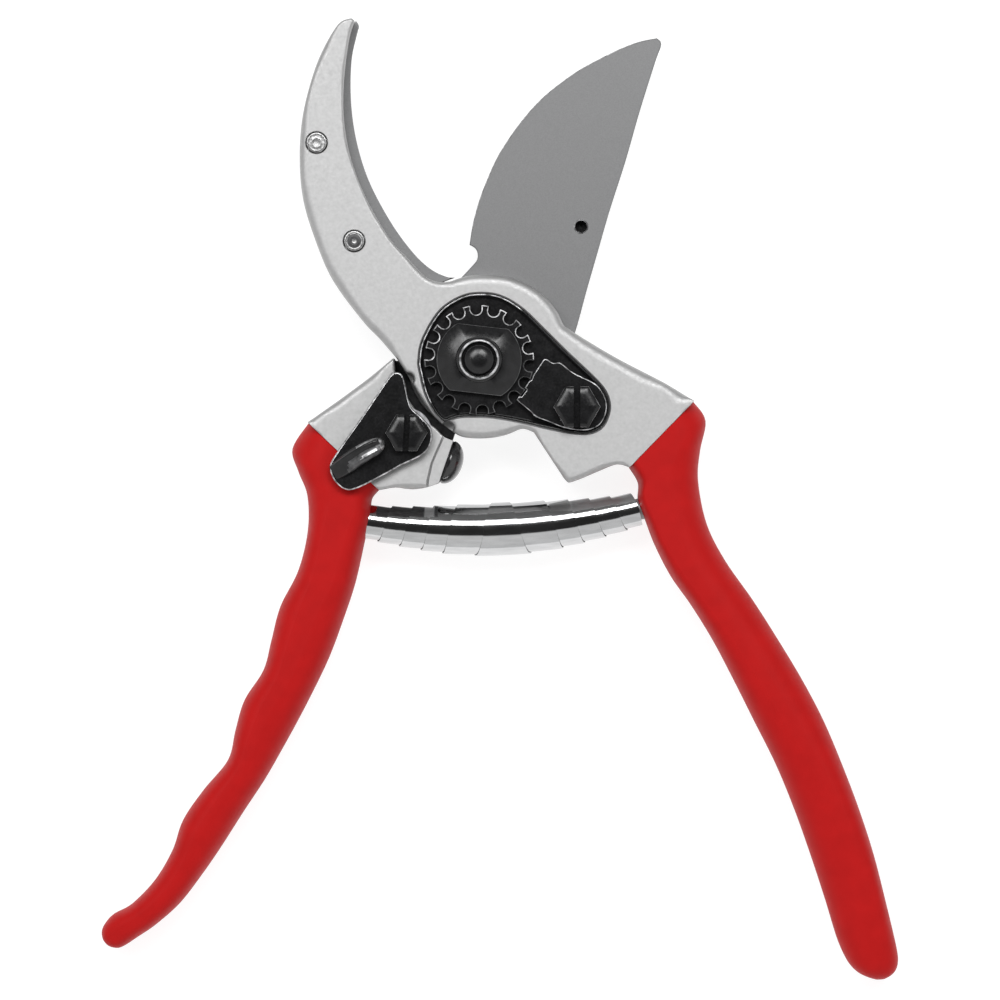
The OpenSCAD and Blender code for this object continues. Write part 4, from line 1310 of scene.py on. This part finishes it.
class SHEARS_OT_spring(Operator):
    """Winds the flat strip into the return spring, widest in the middle."""
    bl_idname = "shears.spring"
    bl_label = "Return Spring"

    def execute(self, context):
        size = context.scene.shears_spring
        tree = Tree("volute_spring", [
            ("Turns", "Float", 5.8), ("Steps", "Int", 300), ("Start", "Vector", None),
            ("Span", "Vector", None), ("Dip", "Float", 0.003), ("Length", "Float", 0.05),
            ("Centre", "Float", 0.5), ("Thickness", "Float", 0.0002), ("Radius", "Float", 0.0055),
            ("Pitch", "Float", 0.0042), ("Reach", "Float", 0.027)])
        take = tree.inputs
        grid = tree.node("GeometryNodeMeshGrid", {
            "Size X": 1.0, "Size Y": 1.0, "Vertices X": take["Steps"], "Vertices Y": 49})
        here = tree.node("ShaderNodeSeparateXYZ", {"Vector": tree.node("GeometryNodeInputPosition")})
        # turns wound so far, and the place across the strip from -1 to 1
        t = tree.times(tree.sum(here.outputs["X"], 0.5), take["Turns"])
        across = tree.times(here.outputs["Y"], 2.0)
        # half the strip's width grows with the turns
        past = tree.math("MAXIMUM", tree.sum(t, -FAST_TURNS), 0.0)
        early = tree.math("MINIMUM", t, FAST_TURNS)
        half = tree.times(take["Pitch"], tree.sum(tree.times(early, FAST_SPREAD), past))
        half = tree.math("MINIMUM", half, take["Reach"])
        half = tree.math("MAXIMUM", half, LEAST_HALF)
        # share of the way along the bowed axis, its middle there and its unit normal
        q = tree.sum(take["Centre"], tree.math("DIVIDE", tree.times(across, half), take["Length"]))
        start = tree.node("ShaderNodeSeparateXYZ", {"Vector": take["Start"]}).outputs
        span = tree.node("ShaderNodeSeparateXYZ", {"Vector": take["Span"]}).outputs
        hump = tree.times(take["Dip"], 4.0, q, tree.math("SUBTRACT", 1.0, q))
        cx = tree.sum(start["X"], tree.times(span["X"], q))
        cy = tree.math("SUBTRACT", tree.sum(start["Y"], tree.times(span["Y"], q)), hump)
        slope = tree.math("SUBTRACT", span["Y"], tree.times(
            take["Dip"], 4.0, tree.math("SUBTRACT", 1.0, tree.times(q, 2.0))))
        length = tree.math("SQRT", tree.sum(tree.times(span["X"], span["X"]), tree.times(slope, slope)))
        nx = tree.math("DIVIDE", tree.times(slope, -1.0), length)
        ny = tree.math("DIVIDE", span["X"], length)
        # each turn lies inside the one before it
        lost = tree.sum(tree.times(t, NARROWING), tree.times(past, LATE_NARROWING))
        radius = tree.math("SUBTRACT", take["Radius"], lost)
        turn = tree.times(tree.sum(t, -0.25), math.tau)
        out, up = tree.times(radius, tree.math("COSINE", turn)), tree.times(radius, tree.math("SINE", turn))
        place = tree.node("ShaderNodeCombineXYZ", {
            "X": tree.sum(cx, tree.times(out, nx)), "Y": tree.sum(cy, tree.times(out, ny)),
            "Z": tree.sum(start["Z"], up)})
        # the wound sheet, thickened and closed
        wound = tree.node("GeometryNodeSetPosition", {"Geometry": grid.outputs["Mesh"], "Position": place})
        thick = tree.node("GeometryNodeExtrudeMesh", {
            "Mesh": wound, "Offset Scale": take["Thickness"]}, mode="FACES")
        thick.inputs["Individual"].default_value = False
        under = tree.node("GeometryNodeFlipFaces", {"Mesh": wound})
        both = tree.node("GeometryNodeJoinGeometry")
        for part in (under.outputs[0], thick.outputs["Mesh"]):
            tree.group.links.new(part, both.inputs[0])
        closed = tree.node("GeometryNodeMergeByDistance", {"Geometry": both, "Distance": 1e-6})
        tree.finish(closed, bright_chrome())
        left, right = [Vector(end) * MM for end in SPRING_ENDS]
        reach = (right - left).length
        body = tree.grow("return_spring_wound", {
            "Turns": size.turns, "Steps": round(size.turns * size.steps) + 1, "Start": left,
            "Span": right - left, "Dip": SPRING_DIP, "Length": reach, "Centre": SPRING_MIDDLE,
            "Thickness": size.thick * MM, "Radius": (size.middle_radius - size.thick) * MM,
            "Pitch": size.pitch * MM, "Reach": reach / 2 + 0.0004})
        dress(body, bright_chrome())
        body.data.shade_smooth()
        clean(body.data, outward=True)
        body.data.set_sharp_from_angle(angle=math.radians(40))
        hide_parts("return_spring")
        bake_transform(body)
        return {"FINISHED"}


# ---------------------------------------------------------------- grips

# outer edge, inner edge, where the flat band's middle runs, width of the band, share of the height
BLADE_GRIP = [
    ((-34.2, -12.4), (-20.05, -25.9), 0.52, 9.0, 1), ((-37.5, -17.6), (-21.4, -27.5), 0.58, 7.0, 1),
    ((-36.3, -22.2), (-21.7, -29.3), 0.58, 6.0, 1), ((-34.5, -27), (-21.8, -31), 0.58, 5.0, 1),
    ((-34.4, -34), (-22.8, -35.5), 0.48, 4.4, 1), ((-36.3, -42), (-24.8, -44.4), 0.47, 4.0, 1),
    ((-39.9, -49.2), (-27.3, -52), 0.46, 3.6, 1), ((-41.7, -56), (-29.9, -59), 0.44, 3.1, 1),
    ((-43.3, -62), (-32.7, -65), 0.42, 2.4, 1), ((-47.1, -68), (-36.3, -72), 0.42, 1.8, 1),
    ((-48.9, -74), (-39.6, -78), 0.4, 1.3, 1), ((-50.4, -80), (-43.05, -84), 0.4, 1.0, 1),
    ((-55.3, -86), (-47.4, -90.6), 0.42, 0.9, 0.99), ((-59.4, -92), (-51.8, -97.5), 0.45, 0.9, 0.97),
    ((-61.5, -98), (-55.6, -103), 0.48, 0.9, 0.93), ((-65, -104), (-60, -108.7), 0.5, 0.9, 0.87),
    ((-69.6, -108.8), (-64.8, -113.0), 0.5, 0.9, 0.79), ((-73.3, -110.9), (-68.6, -115.6), 0.5, 0.9, 0.7),
    ((-75.0, -112.7), (-70.7, -117.0), 0.5, 0.9, 0.62), ((-75.7, -114.2), (-72.2, -117.7), 0.5, 0.7, 0.53),
    ((-75.6, -115.6), (-73.5, -117.6), 0.5, 0.4, 0.38), ((-75.2, -116.4), (-74.3, -117.3), 0.5, 0.2, 0.2),
]
ANVIL_GRIP = [
    ((42.9, -8.15), (30, -21.4), 0.62, 10.0, 1), ((45.4, -12), (31.8, -24.5), 0.66, 8.5, 1),
    ((44.3, -18), (31.8, -28), 0.7, 6.5, 1), ((43.9, -24), (33.2, -31.8), 0.7, 4.6, 1),
    ((45.6, -32.6), (35.2, -37), 0.69, 3.4, 1), ((49.3, -40), (38.4, -43.2), 0.68, 2.6, 1),
    ((54.9, -48), (42.6, -49.2), 0.67, 2.3, 1), ((60, -56), (46.9, -56.2), 0.62, 2.2, 1),
    ((64.8, -64), (51, -64), 0.56, 2.2, 1), ((69, -72), (55, -72), 0.5, 2.2, 1),
    ((72.8, -81), (59.5, -81), 0.42, 2.1, 1), ((76.2, -90), (63.2, -90), 0.35, 1.8, 0.99),
    ((79.1, -99), (66.4, -99), 0.28, 1.4, 0.97), ((81.4, -108), (69.35, -108), 0.27, 1.2, 0.92),
    ((83.1, -115), (71.6, -115.4), 0.35, 1.2, 0.85), ((83.9, -118.8), (73.3, -119.4), 0.42, 1.0, 0.78),
    ((83.95, -120.8), (74.7, -121.5), 0.48, 0.8, 0.7), ((83.5, -122.2), (76.2, -122.8), 0.5, 0.6, 0.58),
    ((82.6, -123.2), (77.9, -123.6), 0.5, 0.4, 0.42), ((81.4, -123.9), (79.4, -124.05), 0.5, 0.2, 0.2),
]


def grip_section(outer, inner, centre, band, height, middle_z, sides):
    """One section: a flat band, flanks that fall away from it, and rounded edges."""
    outer, inner = Vector(outer), Vector(inner)
    across = inner - outer
    width = across.length
    quarter = sides // 4
    rows = [math.sin(math.pi / 2 * k / quarter) for k in range(quarter + 1)]
    left, right = centre * width - band / 2, (1 - centre) * width - band / 2

    def level(s):
        """Height of the flank at a share s of the way from the band to the edge."""
        return height / 2 * (1 - 0.10 * s) * (1 - s ** 3.2) ** 0.5

    top = [(left * (1 - s), level(s)) for s in rows[::-1]]
    top += [(width - right * (1 - s), level(s)) for s in rows]
    under = [(d, -h) for d, h in top[::-1][1:-1]]
    return [(*(outer + across * (d / width)), middle_z + h) for d, h in top + under]


class SHEARS_OT_grips(Operator):
    """Dips both grips: a shaped sleeve with a flat band, finger waves and a soft mouth."""
    bl_idname = "shears.grips"
    bl_label = "Grips"

    def execute(self, context):
        look = context.scene.shears_grips
        for node, pairs, body in (("blade_grip", BLADE_GRIP, BLADE), ("anvil_grip", ANVIL_GRIP, ANVIL)):
            self.sleeve(node, pairs, body, look.sides)
        return {"FINISHED"}

    def sleeve(self, node, pairs, body, sides):
        """One grip: a mouth with a soft lip and a wall, then the sections down to the end."""
        low, high = levels(node)
        rows = smooth_run([(*o, *i, c, b, h) for o, i, c, b, h in pairs], 6)
        rings = [
            grip_section(row[:2], row[2:4], row[4], row[5], (high - low) * row[6], (high + low) / 2, sides)
            for row in rows
        ]
        lip, deep, wall = rings[0], rings[7], 2.3
        mouth = [self.shrunk(deep, wall), self.shrunk(lip, wall), self.shrunk(lip, 0.5),
                 self.shifted(lip, rings[1], 0.12)]
        sleeve = stack(node + "_dipped", mouth + rings[1:] + [self.shrunk(rings[-1], 0.35)])
        finish_piece(sleeve, body, red_vinyl(), "red_vinyl", node, sharp=60)

    def shrunk(self, ring, wall):
        """The ring drawn in by a wall thickness."""
        centre = sum((Vector(p) for p in ring), Vector()) / len(ring)
        reach = max((Vector(p) - centre).length for p in ring)
        tall = max(abs(p[2] - centre.z) for p in ring)
        out = []
        for p in ring:
            d = Vector(p) - centre
            flat = Vector((d.x, d.y, 0)) * max(0.05, 1 - wall / reach)
            out.append(tuple(centre + flat + Vector((0, 0, d.z * max(0.05, 1 - wall / tall)))))
        return out

    def shifted(self, first, second, share):
        """A ring part of the way from one to another."""
        return [tuple(Vector(a).lerp(Vector(b), share)) for a, b in zip(first, second)]


# ---------------------------------------------------------------- inner parts and stage

class SHEARS_OT_inner_parts(Operator):
    """Gives the washers, pins, bush and posts their finishes."""
    bl_idname = "shears.inner_parts"
    bl_label = "Inner Parts"

    def execute(self, context):
        finishes = {
            "bolt_washer": zinc_plate, "segment_washer": black_finish, "catch_washer": zinc_plate,
            "absorber_seat": zinc_plate, "blade_locating_pin": zinc_plate, "pivot_bush": bush_brass,
            "spring_post_anvil": cast_aluminium, "spring_post_blade": cast_aluminium,
        }
        for node, finish in finishes.items():
            mesh = frame["nodes"][node].data
            mesh.materials.clear()
            mesh.materials.append(finish())
        return {"FINISHED"}


FOCUS_LEVEL = 0.012  # height, in metres, at which the camera sees its field
# name, angle round from +X, elevation, width, height, share of the power
LAMPS = (
    ("left_light", 132, 61, 1.1, 0.8, 0.9), ("right_light", 62, 61, 1.0, 0.8, 0.95),
    ("strip_light", 92, 60, 1.5, 0.85, 1.0),
)


class SHEARS_OT_stage(Operator):
    """Lays the floor, sets the soft lights and points the camera straight down."""
    bl_idname = "shears.stage"
    bl_label = "Stage"

    def execute(self, context):
        look = context.scene.shears_stage
        self.floor(look)
        self.lights(look)
        self.camera(context, look)
        return {"FINISHED"}

    def floor(self, look):
        corners = [(-3000, -3000), (3000, -3000), (3000, 3000), (-3000, 3000)]
        floor = mesh_object("floor", [(*p, -0.2) for p in corners], [(0, 1, 2, 3)])
        made = Finish("pale_floor", look.floor_colour[:], 0.0, 0.7)
        made.shader.inputs["Emission Color"].default_value = (1, 1, 1, 1)
        made.shader.inputs["Emission Strength"].default_value = look.floor_glow
        floor.data.materials.append(made.material)

    def lights(self, look):
        low, high = [Vector(c) for c in CAD_BOX]
        centre = (low + high) / 2
        for name, angle, lift, wide, tall, share in LAMPS:
            a, e = math.radians(angle), math.radians(lift)
            away = Vector((math.cos(a) * math.cos(e), math.sin(a) * math.cos(e), math.sin(e)))
            lamp = bpy.data.lights.new(name, "AREA")
            lamp.shape, lamp.size, lamp.size_y = "RECTANGLE", wide, tall
            lamp.energy = look.light_power * share
            made = bpy.data.objects.new(name, lamp)
            made.location = centre + away * look.light_distance
            made.rotation_euler = away.to_track_quat("Z", "Y").to_euler()
            bpy.context.scene.collection.objects.link(made)
        self.sky(look)

    def sky(self, look):
        """A plain surround, bright at the sides and dimmer overhead."""
        world = bpy.data.worlds.new("studio")
        world.use_nodes = True
        tree = world.node_tree
        nodes, links = tree.nodes, tree.links
        ground = nodes["Background"]
        ground.inputs["Color"].default_value = (1, 1, 1, 1)
        parts = nodes.new("ShaderNodeSeparateXYZ")
        links.new(nodes.new("ShaderNodeTexCoord").outputs["Generated"], parts.inputs[0])
        glow = (look.side_glow, look.far_glow)
        sides = mapped(tree, parts.outputs["Y"], (-0.1, 0.62), glow, "SMOOTHSTEP")
        opening = mapped(tree, parts.outputs["Z"], (0.86, 0.9), (1.0, 0.0), "SMOOTHSTEP")
        scaled = nodes.new("ShaderNodeMath")
        scaled.operation = "MULTIPLY_ADD"
        links.new(sides, scaled.inputs[0])
        links.new(opening, scaled.inputs[1])
        scaled.inputs[2].default_value = look.zenith_glow
        links.new(scaled.outputs[0], ground.inputs["Strength"])
        bpy.context.scene.world = world

    def camera(self, context, look):
        lens = bpy.data.cameras.new("camera")
        lens.lens, lens.sensor_width = look.lens, 36
        lens.clip_start, lens.clip_end = 0.01, 50
        camera = bpy.data.objects.new("camera", lens)
        height = look.field * look.lens / lens.sensor_width
        low, high = [Vector(c) for c in CAD_BOX]
        camera.location = ((low.x + high.x) / 2, (low.y + high.y) / 2, FOCUS_LEVEL + height)
        context.scene.collection.objects.link(camera)
        context.scene.camera = camera
        context.scene.view_settings.view_transform = "Standard"


class SHEARS_PT_panel(Panel):
    """Lists the building steps and their settings."""
    bl_label = "Pruning Shears"
    bl_idname = "SHEARS_PT_panel"
    bl_space_type = "VIEW_3D"
    bl_region_type = "UI"
    bl_category = "Shears"

    def draw(self, context):
        for operator in STEPS:
            self.layout.operator(operator.bl_idname)
        for group, kind in GROUPS.items():
            box = self.layout.box()
            for field in kind.__annotations__:
                box.prop(getattr(context.scene, group), field)


STEPS = (
    SHEARS_OT_anvil_handle, SHEARS_OT_blade_handle, SHEARS_OT_blades, SHEARS_OT_rivets,
    SHEARS_OT_pivot, SHEARS_OT_nut_lock, SHEARS_OT_thumb_catch, SHEARS_OT_shock_absorber,
    SHEARS_OT_spring, SHEARS_OT_grips, SHEARS_OT_inner_parts, SHEARS_OT_stage,
)
GROUPS = {
    "shears_metal": ShearsMetal, "shears_grips": ShearsGrips, "shears_nut": ShearsNut,
    "shears_spring": ShearsSpring, "shears_stage": ShearsStage,
}


def register():
    for kind in (*GROUPS.values(), *STEPS, SHEARS_PT_panel):
        bpy.utils.register_class(kind)
    for name, kind in GROUPS.items():
        setattr(bpy.types.Scene, name, PointerProperty(type=kind))


def unregister():
    for name in GROUPS:
        delattr(bpy.types.Scene, name)
    for kind in (SHEARS_PT_panel, *reversed(STEPS), *GROUPS.values()):
        bpy.utils.unregister_class(kind)


def main():
    register()
    for operator in STEPS:
        group, step = operator.bl_idname.split(".")
        getattr(getattr(bpy.ops, group), step)()


if __name__ == "__main__":
    main()
